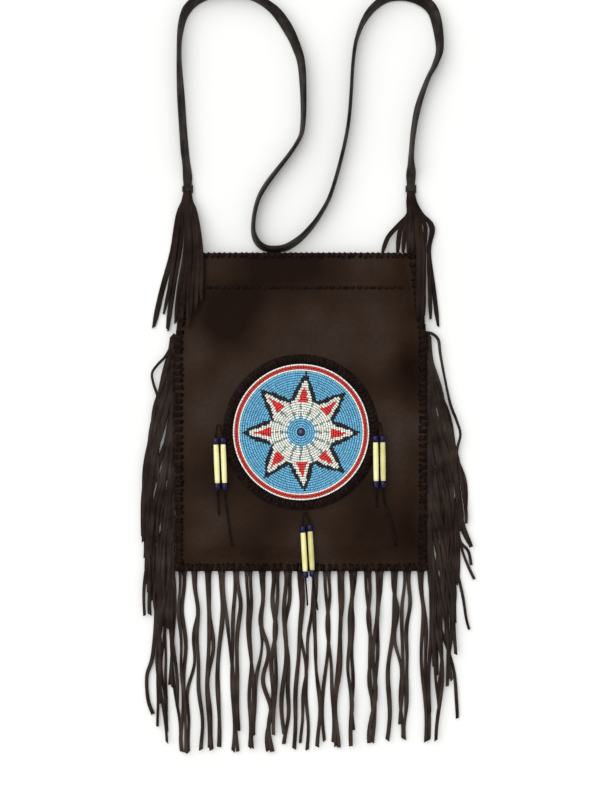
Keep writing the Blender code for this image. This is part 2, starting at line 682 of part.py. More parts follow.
def strap_section(place, way, ends_share):
    """The strap's four corners at one place. It stands on the floor with its lower edge."""
    x, y, lean = place
    lean = math.radians(min(max(lean, 0.0), 90.0))
    width = STRAP_END_WIDTH + (STRAP_WIDTH - STRAP_END_WIDTH) * ends_share
    thick = TAB_THICKNESS + (STRAP_THICKNESS - TAB_THICKNESS) * ends_share
    across = Vector((-way.y, way.x, 0.0)).normalized()
    broad = across * math.cos(lean) + Vector((0.0, 0.0, math.sin(lean)))
    thin = across * -math.sin(lean) + Vector((0.0, 0.0, math.cos(lean)))
    rest = (width * math.sin(lean) + thick * math.cos(lean)) / 2 + FLOOR_GAP
    mid_z = max(TAB_MID_Z + (rest - TAB_MID_Z) * ends_share, rest)
    middle = Vector((x / 1000, y / 1000, mid_z))
    corners = []
    for u, v in ((-1, -1), (1, -1), (1, 1), (-1, 1)):
        corners.append(middle + broad * u * width / 2 + thin * v * thick / 2)
    return corners


def make_strap(collection):
    places = []
    for index in range(len(STRAP_ROUTE) - 1):
        places += [route_point(index, k / STRAP_STEPS) for k in range(STRAP_STEPS)]
    places.append(Vector(STRAP_ROUTE[-1]))
    places[0].y += 1000 * GAP
    places[-1].y += 1000 * GAP
    shape = bmesh.new()
    rings = []
    for k, place in enumerate(places):
        before = places[max(k - 1, 0)]
        after = places[min(k + 1, len(places) - 1)]
        way = Vector((after.x - before.x, after.y - before.y, 0.0))
        if k in (0, len(places) - 1):
            way = Vector((0.0, 1.0 if k == 0 else -1.0, 0.0))
        to_ends = [(place.xy - end.xy).length / 1000 for end in (places[0], places[-1])]
        full = smooth((min(to_ends) - KEEPER_HEIGHT / 2) / STRAP_TAPER)
        corners = strap_section(place, way.normalized(), full)
        rings.append([shape.verts.new(corner) for corner in corners])
    for low, high in zip(rings, rings[1:]):
        for k in range(4):
            n = (k + 1) % 4
            shape.faces.new((low[k], low[n], high[n], high[k]))
    shape.faces.new(rings[0])
    shape.faces.new(rings[-1])
    bmesh.ops.recalc_face_normals(shape, faces=shape.faces)
    mesh = bpy.data.meshes.new("strap")
    shape.to_mesh(mesh)
    shape.free()
    add_object("strap", mesh, LEATHER, collection)


def make_tab(name, side, strap_x, collection):
    """The strap's tab: it runs down inside the side seam, above the fringe."""
    half = STRAP_END_WIDTH / 2
    left = []
    right = []
    seam_inset = half + 2 * GAP
    start = TOP_Y - TAB_BEND
    straight = TASSEL_HEAD_TOP - TASSEL_HEAD_HEIGHT - TAB_BEND / 2
    bends = [start + (straight - start) * k / 4 for k in range(5)]
    for y in [TAB_BOTTOM] + bends + [TAB_TOP]:
        seam_x = side * (half_width(y) - seam_inset)
        centre = seam_x + (strap_x - seam_x) * smooth((y - start) / (straight - start))
        left.append((centre - half, y, UNDER_WELT_Z))
        right.append((centre + half, y, UNDER_WELT_Z))
    tab = mesh_from_quads(name, strip_quads(left, right), LEATHER, collection)
    thicken(tab, TAB_THICKNESS)


def loop_outline(centre_x, half_wide, half_high, front_steps, back_steps):
    """A flattened loop about the strap, from its front left corner clockwise seen from above."""
    points = []
    for k in range(front_steps + 1):
        points.append((centre_x - half_wide + 2 * half_wide * k / front_steps, half_high))
    points.append((centre_x + half_wide + half_high * 0.5, 0.0))
    for k in range(back_steps + 1):
        points.append((centre_x + half_wide - 2 * half_wide * k / back_steps, -half_high))
    points.append((centre_x - half_wide - half_high * 0.5, 0.0))
    return points


def loop_band(points, low_y, high_y):
    """Quads of a band that goes all round the loop and faces outwards."""
    quads = []
    for (ax, az), (bx, bz) in zip(points, points[1:] + points[:1]):
        a, b = (ax, low_y, TAB_MID_Z + az), (bx, low_y, TAB_MID_Z + bz)
        c, d = (bx, high_y, TAB_MID_Z + bz), (ax, high_y, TAB_MID_Z + az)
        quads.append((a, b, c, d))
    return quads


def make_keeper(name, strap_x, collection):
    """A short leather band over the joint of strap and tab."""
    points = loop_outline(strap_x, STRAP_END_WIDTH / 2, TAB_THICKNESS / 2 + GAP, 2, 2)
    low = TAB_TOP - KEEPER_BELOW
    band = mesh_from_quads(name, loop_band(points, low, low + KEEPER_HEIGHT), LACE, collection)
    thicken(band, KEEPER_LEATHER)


def make_tassel(name, strap_x, front_ends, back_ends, collection):
    """A cut strip wrapped round the strap's tab, whose strands hang beside the pouch."""
    head_low = TASSEL_HEAD_TOP - TASSEL_HEAD_HEIGHT
    fronts, backs = len(front_ends), len(back_ends)
    half = STRAP_END_WIDTH / 2 + TASSEL_ROOM
    points = loop_outline(strap_x, half, TAB_THICKNESS / 2 + GAP, fronts, backs)
    quads = loop_band(points, head_low, TASSEL_HEAD_TOP - KEEPER_HEIGHT)
    loop = [(x, TAB_MID_Z + z) for x, z in points]
    roots = [(loop[k], loop[k + 1]) for k in range(fronts)]
    start = fronts + 2
    roots += [(loop[start + k], loop[start + k + 1]) for k in range(backs)]
    for (a, b), (end_x, end_y, end_z) in zip(roots, front_ends + back_ends):
        face_up = a[0] < b[0]
        root_x, root_z = (a[0] + b[0]) / 2, a[1]
        half_root = abs(b[0] - a[0]) / 2
        left = []
        right = []
        for k in range(8):
            share = k / 7
            spread = 1.0 - (1.0 - share) ** TASSEL_SPREAD
            x = root_x + (end_x - root_x) * spread
            y = head_low + (end_y - head_low) * share
            z = root_z + (end_z - root_z) * smooth((share - TASSEL_DROOP_START) * TASSEL_SPREAD)
            wide = half_root + (TASSEL_STRAND_WIDTH / 2 - half_root) * smooth(share * TASSEL_WIDEN)
            left.append((x - wide, y, z))
            right.append((x + wide, y, z))
        quads += strip_quads(right, left) if face_up else strip_quads(left, right)
    thicken(mesh_from_quads(name, quads, FRINGE, collection), TASSEL_LEATHER)


def fan(side, sizes, end_z):
    """Evenly spread strand ends beside the pouch, in the order of their x."""
    first_out, last_out, count, end_y = sizes
    ends = []
    for k in range(count):
        out = first_out + (last_out - first_out) * k / (count - 1)
        ends.append((side * (BODY_WIDTH_TOP / 2 + out), end_y - END_STAGGER * (k % 2), end_z))
    return sorted(ends)


def make_strap_ends(collection):
    left_x, right_x = STRAP_ROUTE[0][0] / 1000, STRAP_ROUTE[-1][0] / 1000
    under = FLOOR_GAP + TASSEL_LEATHER
    over = under + TASSEL_LEATHER + 2 * GAP
    for name, side, strap_x in (("left", -1, left_x), ("right", 1, right_x)):
        make_tab(f"{name}_strap_tab", side, strap_x, collection)
        make_keeper(f"{name}_keeper", strap_x, collection)
        front = [(x, TOP_Y + MOUTH_GAP, z) for x, z in MOUTH_STRANDS[name]]
        front += fan(side, FRONT_FANS[name], over)
        back = fan(side, BACK_FANS[name], under)[::-1]
        make_tassel(f"{name}_tassel", strap_x, front, back, collection)


def main():
    clear_scene()
    bag = make_collection("beaded_medicine_bag")
    make_back_panel(bag)
    make_front_panel(bag)
    floor_z = FLOOR_GAP
    over_z = FLOOR_GAP + FRINGE_LEATHER + 2 * GAP
    under_shift, over_shift = BOTTOM_LAYER_SHIFTS
    make_bottom_fringe("bottom_fringe_under", UNDER_WELT_Z, floor_z, under_shift, 11, bag)
    make_bottom_fringe("bottom_fringe_over", OVER_WELT_Z, over_z, over_shift, 12, bag)
    under = (UNDER_WELT_Z, floor_z)
    over = (OVER_WELT_Z, over_z)
    for name, side in (("left", -1), ("right", 1)):
        make_side_fringe(f"{name}_fringe_under", side, under, 0.0, 0.0, 21, bag)
        make_side_fringe(f"{name}_fringe_over", side, over, OVER_FRINGE_SHIFT, SIDE_STRAND_DROP, 22, bag)
    make_lacing(bag)
    make_rosette(bag)
    make_pendants(bag)
    make_strap(bag)
    make_strap_ends(bag)


main()
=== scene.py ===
"""Looks of the beaded medicine bag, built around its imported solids. Metres, +Z out of the bag's
front, +Y towards its open top. The bag lies on its back on a pale floor and is seen from above."""

import json
import math
import random

import bpy
from mathutils import Matrix, Vector, noise


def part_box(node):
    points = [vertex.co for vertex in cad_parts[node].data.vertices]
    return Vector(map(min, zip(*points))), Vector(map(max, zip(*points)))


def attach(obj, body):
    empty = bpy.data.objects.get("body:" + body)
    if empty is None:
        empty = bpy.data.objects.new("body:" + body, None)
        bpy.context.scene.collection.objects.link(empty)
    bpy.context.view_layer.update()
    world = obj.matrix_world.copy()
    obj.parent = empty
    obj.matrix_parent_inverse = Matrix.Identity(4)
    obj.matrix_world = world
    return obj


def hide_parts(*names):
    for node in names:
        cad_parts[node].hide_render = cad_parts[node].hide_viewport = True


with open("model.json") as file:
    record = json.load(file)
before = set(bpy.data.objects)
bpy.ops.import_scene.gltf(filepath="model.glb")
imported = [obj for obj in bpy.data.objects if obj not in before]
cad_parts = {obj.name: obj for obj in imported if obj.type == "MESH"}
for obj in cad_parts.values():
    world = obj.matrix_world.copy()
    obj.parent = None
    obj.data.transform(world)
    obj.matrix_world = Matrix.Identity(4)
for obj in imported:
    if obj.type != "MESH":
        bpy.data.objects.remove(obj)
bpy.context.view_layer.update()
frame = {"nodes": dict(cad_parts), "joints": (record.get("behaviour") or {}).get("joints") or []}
NODES = frame["nodes"]
JOINTS = {joint["name"]: joint for joint in frame["joints"]}

MM = 0.001
TURN = 2 * math.pi

# The camera looks straight down. Its picture is 593 wide and 800 high.
CAMERA_X = -4.5 * MM
CAMERA_Y = 11.9 * MM
CAMERA_HEIGHT = 2.0
PICTURE_HEIGHT = 0.792
SENSOR_HEIGHT = 24.0

# Soft daylight from the upper left, and a floor that reaches past every view
SUN_STRENGTH = 1.75
SUN_SPREAD = math.radians(80)
SUN_TILT = (math.radians(-22), math.radians(-26), 0)
SKY_STRENGTH = 0.66
FLOOR_HALF = 20.0
FLOOR_Z = -0.2 * MM

# Pouch: its outline and heights come from the solids
BACK_LOW, BACK_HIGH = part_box("back_panel")
FRONT_LOW, FRONT_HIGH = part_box("front_panel")
BOTTOM_Y = BACK_LOW.y
TOP_Y = BACK_HIGH.y
WIDTH_BOTTOM = BACK_HIGH.x - BACK_LOW.x
WIDTH_TOP = 229 * MM
SHOULDER_Y = 75 * MM
LEATHER = 2.0 * MM
SEAM_Z = FRONT_LOW.z
PLATEAU_Z = FRONT_HIGH.z
CROWN = PLATEAU_Z - SEAM_Z - LEATHER
SEAM_MARGIN = 9 * MM
SLOPE_WIDTH = 20 * MM
HEM_DEPTH = 30 * MM
HEM_LACE_Y = 122.8 * MM

# Fringe: its strands are cut from strips that lie in the seams in two layers
STRIP_Z = {layer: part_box(f"bottom_fringe_{layer}")[1].z - 1.4 * MM for layer in ("under", "over")}
STRIP_THICKNESS = 1.3 * MM
STRAND_THICKNESS = 1.2 * MM
STRAND_REST = 0.2 * MM
BOTTOM_PAIRS = 19
BOTTOM_LENGTH = 184
SIDE_STRANDS = 56
SIDE_LENGTH = 172
SIDE_TOP_Y = 77 * MM

# Lacing: how far apart its stitches are, and for each kind of stitch how high it arches, its width,
# its thickness and how deep its ends dip, in millimetres
SEAM_PITCH = 6.9 * MM
EDGE_PITCH = 5.4 * MM
HEM_PITCH = 6.7 * MM
WHIP_STITCH = (0.75, 2.6, 1.0, 1.2)
CROSS_STITCH = (1.1, 2.2, 0.9, 1.4)
HEM_STITCH = (0.5, 2.6, 0.9, 0.8)
BORDER_STITCH = (1.25, 2.5, 0.9, 1.2)

# Rosette: its place and radii come from the solids
ROSETTE_LOW, ROSETTE_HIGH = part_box("rosette_backing")
ROSETTE_X = (ROSETTE_LOW.x + ROSETTE_HIGH.x) / 2
ROSETTE_Y = (ROSETTE_LOW.y + ROSETTE_HIGH.y) / 2
BEADWORK_RADIUS = (ROSETTE_HIGH.x - ROSETTE_LOW.x) / 2
BORDER_LOW, BORDER_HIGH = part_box("rosette_border")
BORDER_OUTER = (BORDER_HIGH.x - BORDER_LOW.x) / 2
BEAD_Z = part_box("blue_field_beads")[0].z
BEAD_LENGTH = 1.62 * MM
BEAD_HEIGHT = 1.85 * MM
RIM_PITCH = 1.72 * MM
FIELD_ROWS = 24
CENTRE_CLEAR = 3.9 * MM
BORDER_STITCHES = 96

# Strap, as its solid lies: x, y in millimetres and its lean in degrees, 90 on edge and 0 flat
STRAP_WIDTH = 13.5 * MM
STRAP_THICKNESS = 2.8 * MM
STRAP_END_WIDTH = 8.4 * MM
STRAP_TAPER = 18 * MM
FLOOR_GAP = 0.3 * MM
TAB_LOW, TAB_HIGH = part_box("left_strap_tab")
STRAP_ROUTE = [
    (-112.5, 222, 0), (-112.5, 228, 0), (-113, 240, 60), (-115.5, 262, 66), (-119, 314, 69),
    (-120.8, 357, 84), (-118.5, 384, 74), (-111.5, 401, 64), (-96.5, 411, 72), (-72.5, 415, 80),
    (-47.5, 411, 76), (-28.5, 400, 62), (-15.5, 384, 52), (-5, 363, 60), (1, 339, 68), (2, 287, 78),
    (-5.5, 264, 80), (-34, 226, 75), (-44, 206, 80), (-47.5, 183, 81), (-44, 169.5, 74),
    (-34.5, 162.2, 73), (-20.5, 161.8, 73), (-9.5, 165.8, 73), (4, 176.5, 77), (18.5, 195, 84),
    (31.5, 222, 86), (46.5, 283, 86), (52, 351, 86), (57.5, 377, 84), (67.5, 396, 74),
    (82.5, 409, 66), (99, 413, 56), (117, 409, 50), (131.5, 396, 50), (137.5, 363, 66),
    (133, 344.7, 75), (125.5, 330, 80), (116.6, 305, 74), (111.8, 281.5, 78), (109.2, 255, 80),
    (109.1, 240, 60), (109, 228, 0), (109, 222, 0),
]


# Colours and materials


def linear(red, green, blue):
    """A colour as it shows on a screen, 0 to 255, as linear light."""
    parts = []
    for value in (red, green, blue):
        share = value / 255
        parts.append(share / 12.92 if share <= 0.04045 else ((share + 0.055) / 1.055) ** 2.4)
    return (*parts, 1.0)


def grey(value):
    return (value, value, value, 1.0)


MATERIALS = {}


def new_material(name, roughness, specular):
    material = bpy.data.materials.new(name)
    material.use_nodes = True
    MATERIALS[name] = material
    shader = material.node_tree.nodes["Principled BSDF"]
    shader.inputs["Roughness"].default_value = roughness
    shader.inputs["Specular IOR Level"].default_value = specular
    return material.node_tree, shader


def add_node(tree, kind, inputs=(), **settings):
    """Adds a node with its settings. Each of its inputs is given a value or linked to a socket."""
    node = tree.nodes.new(kind)
    for name, value in settings.items():
        setattr(node, name, value)
    for name, value in dict(inputs).items():
        if isinstance(value, bpy.types.NodeSocket):
            tree.links.new(value, node.inputs[name])
        else:
            node.inputs[name].default_value = value
    return node.outputs


def own_place(tree):
    """The piece's own coordinates."""
    return add_node(tree, "ShaderNodeTexCoord")["Object"]


def noise_node(tree, scale, detail, stretch=None):
    """A noise of the given scale in the piece's own coordinates."""
    place = own_place(tree)
    if stretch:
        place = add_node(tree, "ShaderNodeMapping", {"Vector": place, "Scale": stretch})["Vector"]
    noise_inputs = {"Vector": place, "Scale": scale, "Detail": detail}
    return add_node(tree, "ShaderNodeTexNoise", noise_inputs)["Fac"]


def ramp_node(tree, source, *stops):
    """Colours by a value. Each stop is a place and a colour, as on a screen or as linear light."""
    ramp = tree.nodes.new("ShaderNodeValToRGB")
    elements = ramp.color_ramp.elements
    while len(elements) < len(stops):
        elements.new(0.5)
    for element, (place, colour) in zip(elements, stops):
        element.position = place
        element.color = colour if len(colour) == 4 else linear(*colour)
    tree.links.new(source, ramp.inputs["Fac"])
    return ramp.outputs["Color"]


def colour_by(tree, shader, source, *stops):
    tree.links.new(ramp_node(tree, source, *stops), shader.inputs["Base Color"])


def paint(tree, shader, base, tint):
    """Colours the surface with base times tint."""
    mix = add_node(tree, "ShaderNodeMix", {"Factor": 1.0, "A": base, "B": tint}, data_type="RGBA",
                   blend_type="MULTIPLY")
    tree.links.new(mix["Result"], shader.inputs["Base Color"])


def bump_node(tree, shader, source, strength, distance):
    bump_inputs = {"Strength": strength, "Distance": distance, "Height": source}
    bump = add_node(tree, "ShaderNodeBump", bump_inputs)
    tree.links.new(bump["Normal"], shader.inputs["Normal"])


def pebble_node(tree, scale):
    """The cells of a leather's grain."""
    return add_node(tree, "ShaderNodeTexVoronoi", {"Vector": own_place(tree), "Scale": scale},
                    feature="DISTANCE_TO_EDGE")["Distance"]


def math_node(tree, operation, *values):
    """One step of arithmetic on numbers and sockets."""
    return add_node(tree, "ShaderNodeMath", enumerate(values), operation=operation)["Value"]


def distance_node(tree, place, point):
    """How far a place is from a point."""
    return add_node(tree, "ShaderNodeVectorMath", {0: place, 1: point},
                    operation="DISTANCE")["Value"]


def patch_node(tree, x, y, radius, size):
    """A soft round patch of paler or darker colour at x and y, as strong as its size at its middle."""
    flat = add_node(tree, "ShaderNodeVectorMath", {0: own_place(tree), 1: (1.0, 1.0, 0.0)},
                    operation="MULTIPLY")["Vector"]
    away = distance_node(tree, flat, (x * MM, y * MM, 0.0))
    fall = {"Value": away, "From Max": radius * MM, "To Min": size, "To Max": 0.0}
    return add_node(tree, "ShaderNodeMapRange", fall, interpolation_type="SMOOTHSTEP")["Result"]


# The leather's paler and darker places, partly its own tone and partly painted light and shade, with
# darker patches on the right side away from the light: x, y, radius in millimetres, and how much paler
# or darker
HIDE_AND_SHADE_PATCHES = [
    (-95, -13, 60, 0.12), (-20, 76, 80, 0.07), (80, 88, 52, 0.10), (88, 0, 42, 0.06),
    (-86, -105, 56, 0.06), (10, -140, 70, 0.03), (-66, 90, 54, -0.20), (-102, 70, 26, 0.06),
    (116, 30, 48, -0.18), (100, -110, 75, -0.12), (-20, 145, 75, -0.16), (60, -75, 50, -0.06),
    (-60, -60, 46, -0.08), (60, 142, 46, 0.05),
]


def leather_material(name, deep, mid, pale, patch=14.0, grain=900.0, hide_and_shade=()):
    """Dark leather: soft patches, mottling, and a fine pebbled grain. The listed patches paint light
    and shade as well as the leather's own tone.
    """
    tree, shader = new_material(name, 0.5, 0.055)
    patches = noise_node(tree, patch, 2.0)
    if hide_and_shade:
        patches = math_node(tree, "MULTIPLY_ADD", patches, 0.45, 0.275)
    # Listed patches: the leather's own paler and darker places, and painted light and shade
    for x, y, radius, size in hide_and_shade:
        patches = math_node(tree, "ADD", patches, patch_node(tree, x, y, radius, size))
    colour = ramp_node(tree, patches, (0.36, deep), (0.5, mid), (0.66, pale))
    mottle = noise_node(tree, 240.0, 4.0)
    paint(tree, shader, colour, ramp_node(tree, mottle, (0.3, grey(0.84)), (0.7, grey(1.1))))
    bump_node(tree, shader, pebble_node(tree, grain), 0.35, 0.25 * MM)
    rough = ramp_node(tree, mottle, (0.2, grey(0.42)), (0.8, grey(0.62)))
    tree.links.new(rough, shader.inputs["Roughness"])


# Surfaces with streaks along them: roughness, specular, scale of the streaks and of the clouds,
# the streaks' stretch and two tints, and the strength and depth of their bump
SUEDE = (0.75, 0.08, 300.0, 45.0, 0.12, (0.3, grey(0.7)), (0.7, grey(1.25)), 0.4, 0.3 * MM)
BONE = (0.38, 0.5, 420.0, 60.0, 0.08, (0.3, (0.9, 0.88, 0.8, 1)), (0.65, grey(1.0)), 0.15, 0.1 * MM)


def streaked_material(name, surface, dark, light):
    roughness, specular, streak, cloud, stretch, first, second, bump, depth = surface
    tree, shader = new_material(name, roughness, specular)
    streaks = noise_node(tree, streak, 3.0, (1.0, stretch, 1.0))
    base = ramp_node(tree, noise_node(tree, cloud, 2.0), (0.3, dark), (0.7, light))
    paint(tree, shader, base, ramp_node(tree, streaks, first, second))
    bump_node(tree, shader, streaks, bump, depth)


def bead_material(name, colour, spoke=None, dullest=0.6):
    """Opaque glass: each bead its own tone, from the tone stored on it."""
    tree, shader = new_material(name, 0.28, 0.5)
    tone = tree.nodes.new("ShaderNodeAttribute")
    tone.attribute_name = "tone"
    light = linear(*colour)[:3]
    dull = (*[dullest * part for part in light], 1.0)
    bright = (*[min(1.15 * part, 0.98) for part in light], 1.0)
    stops = [(0.0, spoke), (0.12, dull)] if spoke else [(0.1, dull)]
    colour_by(tree, shader, tone.outputs["Fac"], *stops, (0.95, bright))
    shader.inputs["Coat Weight"].default_value = 0.3


def make_materials():
    leather_material("bag_leather", (24, 9, 2), (41, 27, 18), (58, 46, 39), hide_and_shade=HIDE_AND_SHADE_PATCHES)
    leather_material("border_leather", (17, 8, 5), (25, 14, 10), (36, 23, 18), 120.0)
    leather_material("strap_leather", (30, 25, 22), (42, 37, 34), (57, 52, 47), 60.0, 1200.0)
    leather_material("lace_leather", (12, 6, 4), (23, 12, 9), (32, 20, 15), 160.0, 1500.0)
    streaked_material("fringe_leather", SUEDE, (40, 30, 26), (66, 56, 49))
    streaked_material("side_fringe_leather", SUEDE, (30, 21, 17), (57, 47, 41))
    streaked_material("tassel_leather", SUEDE, (23, 13, 10), (46, 35, 29))
    streaked_material("bone", BONE, (238, 228, 150), (252, 250, 205))
    # A darker, more olive copy of the bone: painted shade on one pipe of some pairs
    streaked_material("shaded_bone", BONE, (205, 198, 124), (228, 222, 162))
    bead_material("blue_beads", (106, 182, 218))
    bead_material("cream_beads", (240, 250, 230), (128, 152, 156), 0.72)
    bead_material("red_beads", (226, 46, 40))
    bead_material("navy_beads", (2, 7, 20))
    tree, shader = new_material("cobalt_glass", 0.16, 0.3)
    colour_by(tree, shader, noise_node(tree, 500.0, 2.0), (0.3, (0, 0, 24)), (0.7, (5, 5, 68)))


# Shapes


def smooth(share):
    share = min(max(share, 0.0), 1.0)
    return share * share * (3.0 - 2.0 * share)


def half_width(y):
    share = min(max((y - SHOULDER_Y) / (TOP_Y - SHOULDER_Y), 0.0), 1.0)
    return (WIDTH_BOTTOM + (WIDTH_TOP - WIDTH_BOTTOM) * share) / 2


def crown(x, y):
    from_side = half_width(y) - SEAM_MARGIN - abs(x)
    from_bottom = y - BOTTOM_Y - SEAM_MARGIN
    return CROWN * smooth(from_side / SLOPE_WIDTH) * smooth(from_bottom / SLOPE_WIDTH)


def front_top(x, y):
    return SEAM_Z + LEATHER + crown(x, y)


class Shape:
    """Vertices and faces gathered for one piece, with a tone for each vertex."""

    def __init__(self, rings=None, hoop=False):
        self.vertices = []
        self.faces = []
        self.tones = []
        if rings:
            self.tube(rings, hoop=hoop)

    def add(self, vertices, faces, tone=0.5):
        start = len(self.vertices)
        self.vertices += [tuple(vertex) for vertex in vertices]
        self.faces += [tuple(start + index for index in face) for face in faces]
        self.tones += [tone] * len(vertices)

    def tube(self, rings, tone=0.5, hoop=False):
        """A closed skin through rings of as many points each. A hoop's last ring joins its first,
        and any other tube has flat ends."""
        count = len(rings[0])
        vertices = [point for ring in rings for point in ring]
        total = len(vertices)
        faces = []
        for row in range(len(rings) if hoop else len(rings) - 1):
            for k in range(count):
                a, b = row * count + k, row * count + (k + 1) % count
                faces.append((a, b, (b + count) % total, (a + count) % total))
        if not hoop:
            faces.append(tuple(range(count))[::-1])
            faces.append(tuple(range(total - count, total)))
        self.add(vertices, faces, tone)

    def ribbon(self, path, widths, thickness, twists=None, tone=0.5, cut=0.0):
        """A soft-edged flat strand along a path. It lies flat where its twist is 0."""
        section = [(-0.5, -0.2), (-0.42, -0.5), (0.42, -0.5), (0.5, -0.2),
                   (0.5, 0.2), (0.42, 0.5), (-0.42, 0.5), (-0.5, 0.2)]
        rings = []
        last = len(path) - 1
        for k, point in enumerate(path):
            way = (path[min(k + 1, last)] - path[max(k - 1, 0)]).normalized()
            side = way.cross(Vector((0, 0, 1)))
            side = side.normalized() if side.length > 1e-6 else Vector((1, 0, 0))
            up = side.cross(way)
            if twists:
                turn = Matrix.Rotation(twists[k], 3, way)
                side, up = turn @ side, turn @ up
            slant = way * cut if k == last else Vector()
            ring = []
            for u, v in section:
                ring.append(point + side * u * widths[k] + up * v * thickness + slant * u * 2)
            rings.append(ring)
        self.tube(rings, tone)


def add_object(name, data):
    item = bpy.data.objects.new(name, data)
    bpy.context.scene.collection.objects.link(item)
    return item


def make_piece(name, shape, look, node, body="pouch", flat=False):
    """One piece of the scene, in place of a node of the frame."""
    mesh = bpy.data.meshes.new(name)
    mesh.from_pydata(shape.vertices, [], shape.faces)
    tone = mesh.attributes.new("tone", "FLOAT", "POINT")
    tone.data.foreach_set("value", shape.tones)
    if not flat:
        mesh.shade_smooth()
    mesh.materials.append(MATERIALS[look])
    piece = add_object(name, mesh)
    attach(piece, body)
    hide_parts(node)
    return piece


def add_thickness(piece, thickness):
    modifier = piece.modifiers.new("Thickness", "SOLIDIFY")
    modifier.thickness = thickness
    modifier.offset = 1.0


def around(count):
    """The cosine and the sine of even turns round a circle."""
    turns = [TURN * k / count for k in range(count)]
    return [(math.cos(turn), math.sin(turn)) for turn in turns]


def curve_point(points, index, share):
    """A place on the smooth curve through points: a share of the way from one to the next."""
    last = len(points) - 1
    before, start, end, after = [points[min(max(index + k, 0), last)] for k in (-1, 0, 1, 2)]
    leave = (end - before) / 2
    arrive = (after - start) / 2
    square, cube = share ** 2, share ** 3
    place = start * (2 * cube - 3 * square + 1) + leave * (cube - 2 * square + share)
    return place + end * (3 * square - 2 * cube) + arrive * (cube - square)


def smooth_path(points, step):
    """A smooth curve through points, with a place about every step."""
    path = []
    for k in range(len(points) - 1):
        pieces = max(int((points[k + 1] - points[k]).length / step), 1)
        path += [curve_point(points, k, n / pieces) for n in range(pieces)]
    path.append(points[-1])
    return path


def waves(chance, length, size, shortest, longest):
    """A gentle wander along a strand: a few sine waves of chance phase."""
    parts = []
    for _ in range(3):
        parts.append((chance.uniform(shortest, longest), chance.uniform(0, TURN)))
    scale = size * chance.uniform(0.6, 1.2)

    def wander(travel):
        total = 0.0
        for wavelength, phase in parts:
            total += math.sin(TURN * travel / wavelength + phase) - math.sin(phase)
        return scale * total / 2.2 * smooth(travel / (0.25 * length))

    return wander


# Camera, light and floor


def make_stage():
    camera = bpy.data.cameras.new("camera")
    camera.sensor_fit = "VERTICAL"
    camera.sensor_height = SENSOR_HEIGHT
    camera.lens = SENSOR_HEIGHT * CAMERA_HEIGHT / PICTURE_HEIGHT
    seat = add_object("camera", camera)
    seat.location = (CAMERA_X, CAMERA_Y, CAMERA_HEIGHT + 8 * MM)
    bpy.context.scene.camera = seat

    sun = bpy.data.lights.new("soft_sun", "SUN")
    sun.energy = SUN_STRENGTH
    sun.angle = SUN_SPREAD
    add_object("soft_sun", sun).rotation_euler = SUN_TILT

    world = bpy.data.worlds.new("studio")
    world.use_nodes = True
    sky = world.node_tree.nodes["Background"]
    sky.inputs["Color"].default_value = grey(1.0)
    sky.inputs["Strength"].default_value = SKY_STRENGTH
    bpy.context.scene.world = world
    bpy.context.scene.view_settings.view_transform = "Standard"

    mesh = bpy.data.meshes.new("floor")
    corners = ((-1, -1), (1, -1), (1, 1), (-1, 1))
    points = [(x * FLOOR_HALF, y * FLOOR_HALF, FLOOR_Z) for x, y in corners]
    mesh.from_pydata(points, [], [(0, 1, 2, 3)])
    tree, shader = new_material("pale_floor", 0.9, 0.1)
    colour_by(tree, shader, noise_node(tree, 3.0, 2.0), (0.3, (0.915, 0.915, 0.895, 1)),
              (0.7, (0.925, 0.925, 0.91, 1)))
    mesh.materials.append(MATERIALS["pale_floor"])
    add_object("floor", mesh)


# Strap


def make_strap():
    """The flat strap on the floor, on its edge in the turns and leaning where it sweeps wide."""
    steps = 6
    route = [Vector(place) for place in STRAP_ROUTE]
    places = []
    for index in range(len(route) - 1):
        places += [curve_point(route, index, k / steps) for k in range(steps)]
    places.append(route[-1].copy())
    places[0].y += 0.3
    places[-1].y += 0.3
    tab_mid = (TAB_LOW.z + TAB_HIGH.z) / 2
    tab_thick = TAB_HIGH.z - TAB_LOW.z
    section = [(-0.5, -0.25), (-0.46, -0.5), (-0.2, -0.5), (0.2, -0.5), (0.46, -0.5), (0.5, -0.25),
               (0.5, 0.25), (0.46, 0.5), (0.2, 0.5), (-0.2, 0.5), (-0.46, 0.5), (-0.5, 0.25)]
    rings = []
    last = len(places) - 1
    for k, place in enumerate(places):
        way = places[min(k + 1, last)] - places[max(k - 1, 0)]
        way = Vector((way.x, way.y, 0)).normalized()
        if k in (0, last):
            way = Vector((0, 1 if k == 0 else -1, 0))
        to_ends = [(place.xy - end.xy).length * MM for end in (places[0], places[-1])]
        full = smooth((min(to_ends) - 4 * MM) / STRAP_TAPER)
        lean = math.radians(min(max(place.z, 0.0), 90.0))
        width = STRAP_END_WIDTH + (STRAP_WIDTH - STRAP_END_WIDTH) * full
        thick = tab_thick + (STRAP_THICKNESS - tab_thick) * full
        across = Vector((-way.y, way.x, 0))
        broad = across * math.cos(lean) + Vector((0, 0, math.sin(lean)))
        thin = across * -math.sin(lean) + Vector((0, 0, math.cos(lean)))
        rest = (width * math.sin(lean) + thick * math.cos(lean)) / 2 + FLOOR_GAP
        mid_z = max(tab_mid + (rest - tab_mid) * full, rest)
        middle = Vector((place.x * MM, place.y * MM, mid_z))
        cup = 0.35 * MM * full * math.sin(k * 0.21)
        wobble = 1.0 + 0.02 * math.sin(k * 0.47) + 0.015 * math.sin(k * 1.13)
        ring = []
        for u, v in section:
            curl = cup * (1 - 4 * u * u)
            ring.append(middle + broad * u * width * wobble + thin * (v * thick + curl))
        rings.append(ring)
    strap = make_piece("shoulder_strap", Shape(rings), "strap_leather", "strap")


# Panels


